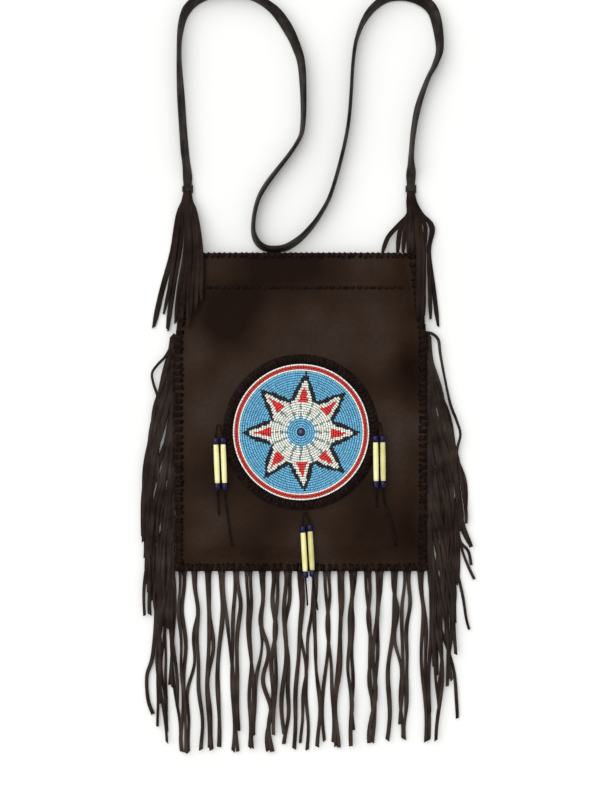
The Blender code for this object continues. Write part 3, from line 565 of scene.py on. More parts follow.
def front_height(x, y):
    """The front leather's underside, which sinks in soft hollows, wrinkles and at its hem."""
    place = Vector((x / 0.055, y / 0.055, 3.1))
    hollow = 0.5 + 0.5 * noise.noise(place)
    crease = noise.noise(Vector((x / 0.009 + y / 0.02, y / 0.045 - x / 0.1, 7.7)))
    near_side = smooth((abs(x) - 60 * MM) / (35 * MM))
    depth = 0.9 * MM * hollow + 0.35 * MM * near_side * (0.5 + 0.5 * crease)
    fold = math.exp(-((y - 128.2 * MM) / (1.3 * MM)) ** 2)
    below = smooth((128 * MM - y) / (3 * MM))
    depth += 0.55 * MM * fold + 0.45 * MM * below * smooth((y - 40 * MM) / (70 * MM))
    stitch = math.exp(-((y - HEM_LACE_Y) / (1.6 * MM)) ** 2)
    depth += 0.45 * MM * stitch * (0.6 + 0.4 * math.sin(TURN * x / (7.1 * MM)))
    edge = smooth((half_width(y) - abs(x)) / (7 * MM)) * smooth((y - BOTTOM_Y) / (7 * MM))
    return SEAM_Z + crown(x, y) - depth * edge


def back_height(x, y):
    """How far the back leather stands off the floor, in soft places away from its seams."""
    inside = smooth((half_width(y) - SEAM_MARGIN - abs(x)) / SLOPE_WIDTH)
    lift = 0.35 * MM * (0.5 + 0.5 * noise.noise(Vector((x / 0.05, y / 0.05, 9.3))))
    return lift * inside * smooth((y - BOTTOM_Y) / SLOPE_WIDTH)


def panel_points(columns, rows, high_y, height_at):
    """Rows of points over the whole width of the pouch, from its bottom up to high_y."""
    points = []
    for row in range(rows):
        y = BOTTOM_Y + (high_y - BOTTOM_Y) * row / (rows - 1)
        for k in range(columns):
            x = (2 * k / (columns - 1) - 1) * half_width(y)
            points.append((x, y, height_at(x, y)))
    return points


def grid_faces(rows, columns):
    faces = []
    for row in range(rows - 1):
        for k in range(columns - 1):
            a = row * columns + k
            faces.append((a, a + 1, a + 1 + columns, a + columns))
    return faces


def make_front_panel():
    """The front leather, with its hem turned in behind it."""
    columns, rows = 150, 190
    points = panel_points(columns, rows, TOP_Y - LEATHER - 0.2 * MM, front_height)
    shape = Shape()
    shape.add(points, grid_faces(rows, columns))
    first, last = 10, columns - 10
    hem = [points[(rows - 1) * columns + k] for k in range(first, last)]
    hem_rows = [hem]
    radius = 0.2 * MM
    for k in range(1, 6):
        turn = math.pi * k / 5
        drop = radius * (1 - math.cos(turn))
        hem_rows.append([(x, y + radius * math.sin(turn), z - drop) for x, y, z in hem])
    for k in range(1, 9):
        back = HEM_DEPTH * k / 8
        hem_rows.append([(x, y - back, z - 2 * radius) for x, y, z in hem])
    shape.add([point for row in hem_rows for point in row], grid_faces(len(hem_rows), last - first))
    panel = make_piece("front_leather", shape, "bag_leather", "front_panel")
    weld = panel.modifiers.new("Join hem", "WELD")
    weld.merge_threshold = 0.00001
    add_thickness(panel, LEATHER)


def make_back_panel():
    columns, rows = 60, 80
    shape = Shape()
    shape.add(panel_points(columns, rows, TOP_Y, back_height), grid_faces(rows, columns))
    panel = make_piece("back_leather", shape, "bag_leather", "back_panel")
    add_thickness(panel, LEATHER - 0.35 * MM)


# Fringe

ROOT_SPREAD = 0.5

# How each side fringe falls: its side, the seed of its chance, how far its strands reach out, how soon
# they leave the pouch, how far their tips flare, how much longer the lowest ones are and how far those
# drift in, in millimetres
SIDE_FRINGES = {"left": (-1, 31, 31, 18, 5, 10, 6), "right": (1, 32, 33, 7, 7, -2, -1)}

# Strands that stand off the side fringes: x, y and height of the points that each passes
LOOSE_STRANDS = {
    "left": [
        [(-121, 76, 5), (-128, 66, 5), (-134.5, 55, 5), (-143, 46, 5), (-147.8, 38, 5),
         (-146, 27, 5), (-142, 14, 5), (-141, -10, 5), (-142, -50, 5), (-141, -90, 5)],
        [(-124, -60, 4), (-136, -90, 4), (-145, -125, 3), (-147, -150, 3), (-144, -190, 2),
         (-147, -240, 2), (-153, -262, 2), (-152, -285, 2), (-147, -300, 2)],
    ],
    "right": [
        [(123, 78, 5), (129, 78, 5), (136, 72, 5), (138, 58, 5), (142, 36, 5), (148, 8, 5),
         (154, -8, 5), (158, -22, 5), (155, -36, 5), (152, -60, 5), (156, -95, 5)],
        [(124, 30, 4), (134, -10, 4), (149, -52, 4), (156, -88, 3), (161, -112, 3), (169, -134, 3)],
        [(124, 20, 4), (136, -40, 4), (151, -85, 3), (158, -112, 3), (163, -124, 3), (167, -131, 3)],
        [(124, 10, 4), (138, -40, 4), (152, -95, 3), (157, -125, 2), (163, -146, 2), (172, -166, 2)],
        [(124, 0, 4), (138, -60, 4), (153, -105, 3), (158, -128, 2), (166, -138, 2), (169, -152, 2)],
        [(124, -60, 4), (136, -110, 4), (152, -150, 3), (160, -180, 2), (164, -205, 2),
         (167, -216, 2)],
    ],
}


def lay_strand(shape, path, chance, width, thickness, cut=0.0):
    """Adds one strand, twisting a little along its way and never below STRAND_REST."""
    count = len(path)
    twist = waves(chance, 1.0, chance.uniform(0.15, 0.75), 0.05, 0.11)
    twists = []
    widths = []
    laid = []
    travel = 0.0
    for k, point in enumerate(path):
        if k:
            travel += (point - path[k - 1]).length
        angle = twist(0.25 + travel) * smooth(travel / 0.03)
        half_high = (abs(math.sin(angle)) * width + abs(math.cos(angle)) * thickness) / 2
        laid.append(Vector((point.x, point.y, max(point.z, STRAND_REST + half_high))))
        twists.append(angle)
        root = 1.0 + ROOT_SPREAD * math.exp(-travel / (3.5 * MM))
        widths.append(width * root * (1.0 + 0.08 * math.sin(travel * 90 + count)))
    shape.ribbon(laid, widths, thickness, twists, chance.uniform(0.2, 0.8), cut)


def make_fringe_pieces(look, name, shapes, seam, width):
    """Adds the strips in the seam, which the strands are cut from, and makes a piece of each layer."""
    for layer, shape in shapes.items():
        strip = [Vector((x, y, STRIP_Z[layer] + 0.7 * MM)) for x, y in seam]
        shape.ribbon(strip, [width] * len(strip), STRIP_THICKNESS)
        make_piece(f"{name}_strands_{layer}", shape, look, f"{name}_fringe_{layer}")


def make_bottom_fringe():
    """Pairs of strands that start together at the bottom seam and wander apart."""
    chance = random.Random(41)
    shapes = {"under": Shape(), "over": Shape()}
    seam_y = BOTTOM_Y - 0.3 * MM
    reach = WIDTH_BOTTOM / 2 - 7 * MM
    steps = 40
    for k in range(BOTTOM_PAIRS):
        centre = -reach + 2 * reach * k / (BOTTOM_PAIRS - 1)
        centre += chance.uniform(-1.2, 1.2) * MM
        apart = chance.choice((-1, 1)) * chance.uniform(0.9, 2.1) * MM
        meet = chance.gauss(0, 3.5) * MM
        parting = chance.choice((0.0, 0.6, 4.0, 8.0)) * MM * chance.choice((-1, 1))
        for layer, sign in (("under", -1), ("over", 1)):
            start_z = STRIP_Z[layer]
            length = (BOTTOM_LENGTH - 14 * (k / BOTTOM_PAIRS)) * MM * chance.uniform(0.965, 1.01)
            if chance.random() < 0.14:
                length *= chance.uniform(0.90, 0.96)
            width = chance.uniform(3.2, 4.5) * MM
            drift = meet + sign * parting
            wander = waves(chance, length, 2.3 * MM, 0.05, 0.15)
            level = (0.8 + 1.6 * chance.randrange(3)) * MM
            path = []
            for step in range(steps + 1):
                travel = length * step / steps
                x = centre + sign * apart + drift * smooth(travel / length) + wander(travel)
                z = start_z + 0.7 * MM + (level - start_z) * smooth(travel / (14 * MM))
                path.append(Vector((x, seam_y + 1.2 * MM - travel, z)))
            cut = chance.uniform(-1.4, 1.4) * MM
            lay_strand(shapes[layer], path, chance, width, STRIP_THICKNESS, cut)
    seam = [(x * reach * 1.04, seam_y + 4 * MM) for x in (-1, 0, 1)]
    make_fringe_pieces("fringe_leather", "bottom", shapes, seam, 8 * MM)


def past_corner(y):
    """How far below the pouch's lower corner a strand is: 0 beside the pouch, 1 well below it."""
    return smooth((BOTTOM_Y - 4 * MM - y) / (30 * MM))


def side_path(side, root_y, start_z, level, length, lane, lead, wander, flick):
    """A strand's way: out of the seam, down beside it, and slowly away from it to its lane."""
    path = []
    steps = 38
    turn = 2.4 * MM
    for step in range(steps + 1):
        travel = length * step / steps
        if travel < turn * 1.57:
            angle = travel / turn
            out = turn * math.sin(angle)
            y = root_y - turn * (1 - math.cos(angle))
        else:
            fall = travel - turn * 1.57
            y = root_y - turn - fall
            out = turn + (lane - turn) * smooth((fall + lead * MM) / (128 * MM))
            out += wander(fall) + flick * smooth((travel / length - 0.5) / 0.5)
            out = max(out, (1.6 - 10 * past_corner(y)) * MM)
        x = side * (half_width(y) + out)
        z = start_z + 0.7 * MM + (level - start_z) * max(smooth(out / (10 * MM)), past_corner(y))
        path.append(Vector((x, y, z)))
    return path


def make_side_fringe(name):
    """Strands that leave the side seam one below the other and fall along the pouch in a mass."""
    side, seed, reach_out, lead, flare, longer, drift = SIDE_FRINGES[name]
    chance = random.Random(seed)
    tips = random.Random(seed + 40)
    shapes = {"under": Shape(), "over": Shape()}
    low = BOTTOM_Y + 5 * MM
    for k in range(SIDE_STRANDS):
        share = k / (SIDE_STRANDS - 1)
        root_y = SIDE_TOP_Y + (low - SIDE_TOP_Y) * share + chance.uniform(-1, 1) * MM
        layer = "under" if k % 2 else "over"
        length = (SIDE_LENGTH + longer * smooth((share - 0.7) / 0.3)) * MM
        length *= chance.uniform(0.93, 1.03)
        place = chance.random() if share > 0.25 else 0.55 + 0.45 * chance.random()
        lane = (2 + (reach_out * (1.0 - 0.36 * share)) * place) * MM
        flick = flare * MM * chance.random() ** 3 * (1.0 - 0.7 * share)
        flick -= (drift + tips.uniform(-9, 9)) * MM * smooth((share - 0.5) / 0.5)
        wander = waves(chance, length, 1.5 * MM, 0.05, 0.15)
        level = (0.8 + 1.25 * chance.randrange(4)) * MM
        width = chance.uniform(3.2, 4.8) * MM * (1.0 - 0.22 * smooth((share - 0.4) / 0.4))
        if share > 0.6 and k % 3 == 0:
            continue
        path = side_path(side, root_y, STRIP_Z[layer], level, length, lane, lead, wander, flick)
        cut = chance.uniform(-1.6, 1.6) * MM
        lay_strand(shapes[layer], path, chance, width, STRAND_THICKNESS, cut)
    for k, strand in enumerate(LOOSE_STRANDS[name]):
        points = [Vector((x * MM, y * MM, z * MM)) for x, y, z in strand]
        width = 3.8 * MM if k == 1 else 2.8 * MM
        lay_strand(shapes["over"], smooth_path(points, 3 * MM), chance, width, STRAND_THICKNESS)
    seam = []
    for y in (low, (low + SIDE_TOP_Y) / 2, SIDE_TOP_Y):
        seam.append((side * (half_width(y) - 3.4 * MM), y))
    make_fringe_pieces("side_fringe_leather", name, shapes, seam, 7.6 * MM)


# Lacing


def lace_stitch(shape, start, end, kind, tone):
    """One stitch of lace that comes up at start, lies over in a low arch and goes down at end."""
    rise, width, thickness, dip = [value * MM for value in kind]
    path = []
    steps = 7
    for k in range(steps + 1):
        arch = math.sin(math.pi * k / steps)
        point = start.lerp(end, k / steps)
        path.append(Vector((point.x, point.y, point.z + rise * arch - dip * (1 - arch) ** 4)))
    shape.ribbon(path, [width] * (steps + 1), thickness, None, tone)


def over_front(place, lift):
    """A place as far above the front leather as lift."""
    return Vector((place.x, place.y, front_top(place.x, place.y) + lift))


# A seam's first stitches and those that cross them: where along the pitch each starts and ends and
# which way it leans, its shortest and longest reach, how high its ends lie, and its kind
SEAM_STITCHES = ((0.0, 0.45, 1, 0.82, 1.08, 0.55, 0.3, WHIP_STITCH),
                 (0.5, -0.02, -1, 0.85, 1.02, 0.9, 0.6, CROSS_STITCH))


def seam_stitches(shape, start, end, pitch, depth, chance, crossed, side):
    """Whip stitches over an edge from start to end; depth reaches to the left of the way. A side
    seam's stitches keep to the pouch's side."""
    way = (end - start).normalized()
    across = Vector((-way.y, way.x))
    count = round((end - start).length / pitch)
    for k in range(count):
        foot = start + way * pitch * (k + 0.5 + chance.uniform(-0.14, 0.14))
        lean = chance.uniform(-0.22, 0.22)
        if side:
            foot.x = side * (half_width(foot.y) - 1.2 * MM)
        for leave, arrive, turn, least, most, near_up, far_up, kind in SEAM_STITCHES[:1 + crossed]:
            near = foot + way * pitch * leave - across * 0.7 * MM
            far = foot + way * pitch * (arrive + turn * lean)
            far += across * depth * chance.uniform(least, most)
            lace_stitch(shape, over_front(near, near_up * MM), over_front(far, far_up * MM), kind,
                        chance.random())


def make_seam_lacing():
    chance = random.Random(7)
    low, high = BOTTOM_Y + 2 * MM, TOP_Y - 4 * MM
    foot, top = BOTTOM_Y + 1.0 * MM, TOP_Y - 0.8 * MM
    side_x = WIDTH_BOTTOM / 2
    foot_x, top_x = side_x - 3 * MM, WIDTH_TOP / 2 - 3 * MM
    seams = (
        ("left_seam", (-side_x, high), (-side_x, low), SEAM_PITCH, 6.6 * MM, True, -1),
        ("right_seam", (side_x, low), (side_x, high), SEAM_PITCH, 6.6 * MM, True, 1),
        ("bottom_seam", (-foot_x, foot), (foot_x, foot), SEAM_PITCH, 6.2 * MM, True, 0),
        ("top_edge", (top_x, top), (-top_x, top), EDGE_PITCH, 4.4 * MM, False, 0),
    )
    for name, start, end, pitch, depth, crossed, side in seams:
        shape = Shape()
        seam_stitches(shape, Vector(start), Vector(end), pitch, depth, chance, crossed, side)
        make_piece(f"{name}_stitches", shape, "lace_leather", f"{name}_lacing")
    shape = Shape()
    reach = half_width(HEM_LACE_Y) - 12 * MM
    for k in range(int(2 * reach / HEM_PITCH)):
        x = -reach + HEM_PITCH * (k + 0.5) + chance.uniform(-0.3, 0.3) * MM
        z = front_top(x, HEM_LACE_Y) - (1.0 * MM if k % 2 else 0.7 * MM)
        lift = 0.4 * MM * (k % 2)
        start = Vector((x - 2.5 * MM, HEM_LACE_Y - lift, z))
        end = Vector((x + 2.5 * MM, HEM_LACE_Y + lift, z))
        lace_stitch(shape, start, end, HEM_STITCH, chance.random())
    make_piece("hem_stitches", shape, "lace_leather", "hem_lacing")


# Rosette


def bead_shape(shape, centre, along, length, across, tone):
    """One seed bead: a short rounded tube whose hole runs along the thread."""
    side = Vector((-along.y, along.x, 0))
    up = Vector((0, 0, 1))
    rings = []
    for place, swell in ((-0.5, 0.66), (-0.28, 0.97), (0.28, 0.97), (0.5, 0.66)):
        ring = []
        for wide, high in around(8):
            out = side * wide * across / 2 + up * high * BEAD_HEIGHT / 2
            ring.append(centre + along * place * length + out * swell)
        rings.append(ring)
    shape.tube(rings, tone)


SPOKES = 16

# Each star point wanders a little on the hand-beaded star: its lean in degrees at its foot and at
# its tip, from the right-hand point round by the top.
POINT_LEANS = [(-2.5, -0.5), (-4.5, -3), (-4.5, -5), (-3, -1.5), (0.5, 1), (3.3, 6.5), (1, 3.5),
               (-1, 2)]


# The star's measures: radii and widths in millimetres
MEDALLION_RADIUS = 13.4
MEDALLION_SCALLOP = 2.6
NAVY_START = 28.5
BLUE_START = 32.2
POINT_FOOT = 33.0
POINT_TIP = 59.4
POINT_HALF_WIDTH = 13.3
NAVY_WIDTH = 4.9
NAVY_TIP = 53.5
RED_FOOT, RED_TIP = 30.2, 45.8

# Each colour group: its look and the node that it stands for
BEAD_GROUPS = {
    "rim_outer": ("cream_beads", "rim_outer_beads"), "rim_red": ("red_beads", "rim_red_beads"),
    "rim_inner": ("cream_beads", "rim_inner_beads"), "blue": ("blue_beads", "blue_field_beads"),
    "navy": ("navy_beads", "navy_star_beads"), "cream": ("cream_beads", "cream_star_beads"),
    "centre": ("blue_beads", "blue_centre_beads"),
}
for point in range(1, len(POINT_LEANS) + 1):
    BEAD_GROUPS[f"red_{point}"] = ("red_beads", f"red_point_beads_{point}")


def star_colour(radius, angle):
    """The colour of a bead of the star field, by its ring and how far it is from a star point."""
    step = TURN / len(POINT_LEANS)
    r = radius / MM
    spoke = (angle * SPOKES / TURN) % 1.0
    if r < MEDALLION_RADIUS + MEDALLION_SCALLOP * (1.0 - smooth(2.5 * min(spoke, 1.0 - spoke))):
        return "centre"
    nearest = []
    for k, (foot, tip) in enumerate(POINT_LEANS):
        lean = math.radians(foot + (tip - foot) * smooth((r - 34) / 24))
        away = (angle - k * step - lean + math.pi) % TURN - math.pi
        nearest.append((r * abs(away), k + 1))
    off, point = min(nearest)
    outer = POINT_HALF_WIDTH * (POINT_TIP - r) / (POINT_TIP - POINT_FOOT)
    outer += 0.7 * math.sin(math.pi * smooth((r - POINT_FOOT) / 24))
    inner = outer - NAVY_WIDTH + 1.5 * smooth((r - 41) / 9)
    if r > BLUE_START and off > outer:
        return "blue"
    if r > NAVY_START and off > inner + 8 * smooth((32.5 - r) / 4) or r > NAVY_TIP:
        return "navy"
    if RED_FOOT < r < RED_TIP and off < 0.5 + 4.4 * (45.0 - r) / 14:
        return f"red_{point}"
    return "cream"


def bead_rows():
    """The rings of beads from the rim in: radius, width, and the colour of those that have one."""
    rows = []
    radius = BEADWORK_RADIUS - RIM_PITCH / 2
    for colour in ("rim_outer", "rim_red", "rim_red", "rim_inner"):
        rows.append((radius, RIM_PITCH, colour))
        radius -= RIM_PITCH
    field = radius + RIM_PITCH / 2
    pitch = (field - CENTRE_CLEAR) / FIELD_ROWS
    rows += [(field - pitch * (k + 0.5), pitch, None) for k in range(FIELD_ROWS)]
    return rows


def make_beadwork():
    chance = random.Random(3)
    shapes = {}
    for radius, width, fixed in bead_rows():
        beads = max(round(TURN * radius / BEAD_LENGTH), 6)
        start = chance.uniform(0, TURN)
        for k in range(beads):
            angle = (start + TURN * (k + chance.uniform(-0.1, 0.1)) / beads) % TURN
            colour = fixed or star_colour(radius, angle)
            tone = chance.triangular(0.3, 1.0, 0.75)
            if fixed == "rim_red":
                tone = chance.triangular(0.1, 0.6, 0.35)
            elif fixed:
                tone = chance.triangular(0.8, 1.0, 0.95)
            spoke = (angle * SPOKES / TURN) % 1.0
            on_spoke = min(spoke, 1 - spoke) * TURN * radius / SPOKES < 1.0 * MM
            if colour == "cream" and 15.2 * MM < radius < 31 * MM and on_spoke:
                tone = chance.choice((0.0, 0.0, 0.06, 0.5))
            out = Vector((math.cos(angle), math.sin(angle), 0))
            centre = Vector((ROSETTE_X, ROSETTE_Y, BEAD_Z + 0.95 * MM)) + out * radius
            centre.z += chance.uniform(-0.06, 0.06) * MM
            along = Vector((-out.y, out.x, 0))
            length = TURN * radius / beads * chance.uniform(0.88, 0.97)
            shape = shapes.setdefault(colour, Shape())
            bead_shape(shape, centre, along, length, width * 0.97, tone)
    for colour, (look, node) in BEAD_GROUPS.items():
        make_piece(f"{colour}_seed_beads", shapes[colour], look, node)


def make_centre_bead():
    """The dark middle bead with its small violet heart."""
    low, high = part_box("centre_bead")
    middle = (low + high) / 2
    radius = (high.x - low.x) / 2
    pole = 0.01 * MM
    rings = []
    for k in range(9):
        angle = math.pi * (k / 8 - 0.5)
        reach = radius * math.cos(angle) + pole
        z = (high.z - low.z) / 2 * math.sin(angle)
        rings.append([middle + Vector((reach * wide, reach * tall, z)) for wide, tall in around(24)])
    tree, shader = new_material("centre_bead_glass", 0.15, 0.6)
    away = distance_node(tree, own_place(tree), (middle.x, middle.y, high.z))
    share = math_node(tree, "DIVIDE", away, radius)
    colour_by(tree, shader, share, (0.2, (84, 48, 92)), (0.5, (8, 10, 44)))
    make_piece("centre_glass_bead", Shape(rings), "centre_bead_glass", "centre_bead")


def make_rosette_backing():
    """The stiff disc under the beads, dark between them."""
    low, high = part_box("rosette_backing")
    rings = []
    for radius, z in ((BEADWORK_RADIUS, low.z), (BEADWORK_RADIUS + 0.2 * MM, (low.z + high.z) / 2),
                      (BEADWORK_RADIUS, high.z + 0.4 * MM)):
        rings.append([(ROSETTE_X + radius * x, ROSETTE_Y + radius * y, z) for x, y in around(120)])
    make_piece("rosette_felt", Shape(rings), "strap_leather", "rosette_backing", flat=True)


def make_border():
    """The leather ring round the beadwork, pulled into puffs by its lacing."""
    inner, outer = BEADWORK_RADIUS + 0.3 * MM, BORDER_OUTER
    base = BORDER_LOW.z
    profile = [(0.0, 0.05), (0.0, 1.3), (0.12, 1.75), (0.32, 1.95), (0.55, 1.95), (0.78, 1.6),
               (0.93, 0.95), (1.0, 0.35), (0.98, 0.0)]
    segments = BORDER_STITCHES * 6
    rings = []
    for n, (x, y) in enumerate(around(segments)):
        pull = 0.5 + 0.5 * math.cos(BORDER_STITCHES * TURN * n / segments)
        ring = []
        for across, high in profile:
            radius = inner + (outer - inner) * across
            z = base + high * MM * (1.0 - 0.22 * pull)
            ring.append((ROSETTE_X + radius * x, ROSETTE_Y + radius * y, z))
        rings.append(ring)
    make_piece("border_ring", Shape(rings, hoop=True), "border_leather", "rosette_border")
    chance = random.Random(19)
    lace = Shape()
    slant = TURN / BORDER_STITCHES * 0.38
    foot = Vector((ROSETTE_X, ROSETTE_Y, base + 1.55 * MM))
    for n in range(BORDER_STITCHES):
        angle = TURN * n / BORDER_STITCHES + chance.uniform(-0.004, 0.004)
        near = Vector((math.cos(angle), math.sin(angle), 0)) * (inner + 1.1 * MM)
        far = Vector((math.cos(angle + slant), math.sin(angle + slant), 0)) * (outer - 1.4 * MM)
        lace_stitch(lace, near + foot, far + foot, BORDER_STITCH, chance.random())
    make_piece("border_stitches", lace, "lace_leather", "border_lacing")


# Pendants

PENDANT_BORE = 1.25 * MM


def pipe_axis(node):
    """The two ends of a straight turned node: its upper end, towards +Y, first."""
    places = [vertex.co for vertex in NODES[node].data.vertices]
    heights = [place.y for place in places]
    ends = []
    for edge in (max(heights), min(heights)):
        near = [place for place in places if abs(place.y - edge) < 1.2 * MM]
        ends.append(sum(near, Vector()) / len(near))
    return ends


def turned_shape(centre, way, profile, segments=32):
    """A bored, turned piece: profile gives its radius and its place along the way."""
    turn = way.to_track_quat("Z", "Y").to_matrix()
    rings = []
    for x, y in around(segments):
        rings.append([centre + turn @ Vector((r * x, r * y, place)) for r, place in profile])
    return Shape(rings, hoop=True)


def pipe_profile(half):
    """A bone hairpipe's radii and places from end to end, and its bore."""
    return [(2.15 * MM, half), (2.38 * MM, half - 0.25 * MM), (2.5 * MM, half * 0.8),
            (2.6 * MM, half * 0.35), (2.62 * MM, 0.0), (2.58 * MM, -half * 0.4),
            (2.48 * MM, -half * 0.82), (2.36 * MM, -half + 0.25 * MM), (2.1 * MM, -half),
            (PENDANT_BORE, -half), (PENDANT_BORE, half)]


def glass_profile(half):
    """A round glass bead's radii and places, and its bore."""
    profile = []
    for k in range(13):
        turn = math.pi * k / 12
        profile.append((1.7 * MM + 1.45 * MM * math.sin(turn) ** 0.8, half * math.cos(turn)))
    return profile + [(PENDANT_BORE, 0.2 * MM - half), (PENDANT_BORE, half - 0.2 * MM)]


def make_pendant(name):
    anchor = Vector(JOINTS[f"{name}_swing"]["pos_m"])
    legs = []
    for letter in ("a", "b"):
        node = f"{name}_hairpipe_{letter}"
        top, low = pipe_axis(node)
        way = (top - low).normalized()
        pipe = turned_shape((top + low) / 2, way, pipe_profile((top - low).length / 2))
        # The second pipe of the right and bottom pendants takes the darker bone, painted shade
        bone = "shaded_bone" if letter == "b" and name != "left_pendant" else "bone"
        make_piece(f"{name}_bone_{letter}", pipe, bone, node, name)
        places = []
        for place in ("upper", "lower"):
            node = f"{name}_{place}_bead_{letter}"
            low_corner, high_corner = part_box(node)
            centre = (low_corner + high_corner) / 2
            places.append(centre)
            bead = turned_shape(centre, way, glass_profile((high_corner.y - low_corner.y) / 2), 24)
            make_piece(f"{name}_{place}_glass_{letter}", bead, "cobalt_glass", node, name)
        legs.append((places, way))
    make_pendant_thong(name, anchor, legs)


# Where each thong's two tails pass and end, in millimetres from the bead that they leave
PENDANT_TAILS = {
    "left_pendant": [[(0.3, -9), (1.0, -23)], [(0.6, -10), (3.0, -26), (5.0, -42), (7.0, -55)]],
    "right_pendant": [[(0.3, -9), (0.8, -18)], [(1.0, -12), (6.0, -26), (10.0, -40), (12.0, -56)]],
    "bottom_pendant": [[(1.0, -12), (1.8, -26)], [(2.0, -12), (3.4, -20), (5.0, -32)]],
}


def make_pendant_thong(name, anchor, legs):
    """The doubled thong: up from one tail, through bead, bone and bead, round and down again."""
    width, thick = 1.7 * MM, 1.2 * MM
    on_panel = PLATEAU_Z + 0.3 * MM + thick / 2
    paths = []
    for (places, way), tail in zip(legs, PENDANT_TAILS[name]):
        upper, lower = places
        out = lower - way * 5 * MM
        tail_points = []
        for x, y in tail:
            z = on_panel
            if name == "bottom_pendant":
                z = out.z - (out.z - STRIP_Z["over"] - 4 * MM) * smooth(-y / 30)
            tail_points.append(Vector((out.x + x * MM, out.y + y * MM, z)))
        paths.append(tail_points[::-1] + [out, lower, upper, upper + way * 4.5 * MM])
    gap = Vector((1.2 * MM, 0, 0))
    points = paths[0] + [anchor - gap, anchor + gap] + paths[1][::-1]
    path = smooth_path(points, 2.5 * MM)
    shape = Shape()
    shape.ribbon(path, [width] * len(path), thick)
    make_piece(f"{name}_lace", shape, "lace_leather", f"{name}_thong", name)


# Tassels


def make_tassel(name, neck_x, seed):
    """A cut strip gathered at the strap's end: broad strands that fall from it. Some of the right
    tassel's end at the pouch's mouth."""
    chance = random.Random(seed)
    shape = Shape()
    strands = TASSELS[name]
    neck_y = 214 * MM
    mid_z = (TAB_LOW.z + TAB_HIGH.z) / 2
    for k, (mid_x, end_x, end_y, level, width, bulge) in enumerate(strands):
        root = 2 * (k + 0.5) / len(strands) - 1
        to_mouth = end_y > 140
        spread, shoulder, steep = (3.6, 0.2, 1.0) if to_mouth else (5.0, 0.62, 0.6)
        high = mid_z + 2.6 * MM + 1.5 * MM * (1 - root * root) + 0.5 * MM * (k % 2)
        low = level * MM
        points = [(neck_x + root * 2.6 * MM, neck_y + 5 * MM, high - 1.5 * MM),
                  (neck_x + root * spread * MM, neck_y - 6 * MM, high),
                  (neck_x + (mid_x * MM - neck_x) * shoulder, 196 * MM,
                   high * steep + low * (1 - steep))]
        if to_mouth:
            points += [(mid_x * MM, 185 * MM, high * 0.6 + low * 0.4),
                       ((0.35 * mid_x + 0.65 * end_x) * MM, 173 * MM, low)]
        else:
            if bulge:
                points.append(((mid_x + bulge) * MM, 183 * MM, high * 0.4 + low * 0.6))
            bow = chance.uniform(-0.8, 0.8) * MM
            points += [(mid_x * MM, 160 * MM, low),
                       ((0.45 * mid_x + 0.55 * end_x) * MM + bow, 122 * MM, low)]
        points.append((end_x * MM, end_y * MM, low))
        path = smooth_path([Vector(point) for point in points], 4 * MM)
        widths = []
        for step in range(len(path)):
            share = step / (len(path) - 1)
            broad = 0.62 + 0.38 * smooth(share * 3)
            narrow = 1.0 - 0.45 * smooth((share - 0.86) / 0.14)
            widths.append(width * MM * broad * narrow)
        tilt = chance.uniform(-0.3, 0.3)
        twists = [tilt * smooth(step / 8) for step in range(len(path))]
        shape.ribbon(path, widths, STRAND_THICKNESS, twists, chance.random(),
                     chance.uniform(-1.5, 1.5) * MM)
    make_piece(f"{name}_tassel_strands", shape, "tassel_leather", f"{name}_tassel")


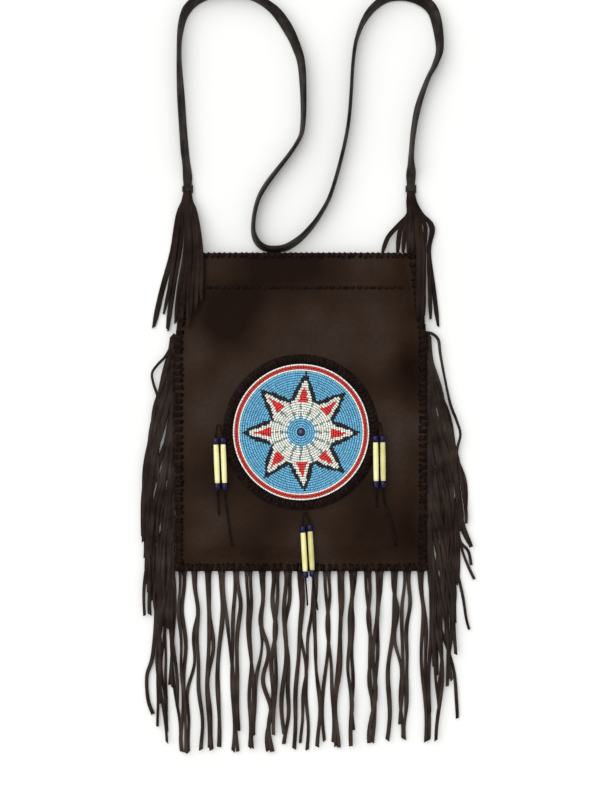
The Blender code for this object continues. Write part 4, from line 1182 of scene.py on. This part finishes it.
def make_keeper(name, neck_x):
    """A lace wound round the joint of strap and tab."""
    low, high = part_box(f"{name}_keeper")
    mid_z = (low.z + high.z) / 2
    half_wide = (high.x - low.x) / 2 - 1.3 * MM
    half_high = (high.z - low.z) / 2 - 0.9 * MM
    start_y, run = low.y + 1.0 * MM, high.y - low.y - 2.0 * MM
    turns = 3
    steps = 24
    along = Vector((0, 1, 0))
    rings = []
    for k in range(turns * steps + 1):
        angle = TURN * k / steps
        out = Vector((math.cos(angle), 0, math.sin(angle)))
        point = Vector((neck_x + half_wide * out.x, start_y + run * k / (turns * steps),
                        mid_z + half_high * out.z))
        ring = []
        for u, v in ((-1, -0.6), (1, -0.6), (1.1, 0), (0.8, 0.6), (-0.8, 0.6), (-1.1, 0)):
            ring.append(point + along * u * MM + out * v * 0.7 * MM)
        rings.append(ring)
    make_piece(f"{name}_keeper_wrap", Shape(rings), "strap_leather", f"{name}_keeper")


# Each tassel's strands: the x that it passes at mid-height, the x and y of its end, its height above
# the floor, its width and how far it bulges out below the neck, in millimetres
TASSELS = {
    "left": [
        (-127.5, -146.5, 84, 1.2, 5.6, 0), (-125, -136.5, 97, 2.6, 4.0, 0),
        (-121.4, -133, 82, 1.2, 5.0, 0), (-119.6, -132, 80, 3.6, 3.0, 0),
        (-114.6, -124.5, 88, 5.0, 4.8, 0), (-111.5, -118, 93, 9.6, 4.6, 0),
        (-109, -111.5, 84, 12.2, 5.4, 0), (-104.5, -109, 96, 14.6, 3.2, 0),
        (-101.5, -104, 100, 15.2, 4.6, 0), (-98.5, -98, 110, 15.6, 4.2, 0),
    ],
    "right": [
        (96.5, 80.5, 157.5, 6.0, 4.6, 0), (99.6, 95.5, 157.5, 7.5, 4.8, 0),
        (104, 101, 157.5, 8.5, 4.4, 0), (107.5, 106, 157.5, 9.5, 4.6, 0),
        (110.5, 110.5, 157.5, 10.0, 4.6, 0), (116, 115.5, 92, 13.4, 5.4, 0),
        (119.5, 119, 88, 11.8, 5.2, 0), (122, 121.5, 94, 9.4, 4.6, 1.0),
        (127, 128.6, 92, 3.6, 4.2, 2.2), (127, 136.2, 85, 1.6, 4.4, 3.8),
    ],
}


def make_strap_ends():
    for name, neck, seed in (("left", STRAP_ROUTE[0], 5), ("right", STRAP_ROUTE[-1], 6)):
        make_tassel(name, neck[0] * MM, seed)
        make_keeper(name, neck[0] * MM)
        tab = NODES[f"{name}_strap_tab"].data
        tab.materials.clear()
        tab.materials.append(MATERIALS["strap_leather"])


def main():
    make_stage()
    make_materials()
    make_strap()
    make_back_panel()
    make_front_panel()
    make_bottom_fringe()
    for name in SIDE_FRINGES:
        make_side_fringe(name)
    make_seam_lacing()
    make_rosette_backing()
    make_beadwork()
    make_centre_bead()
    make_border()
    for name in PENDANT_TAILS:
        make_pendant(name)
    make_strap_ends()


main()
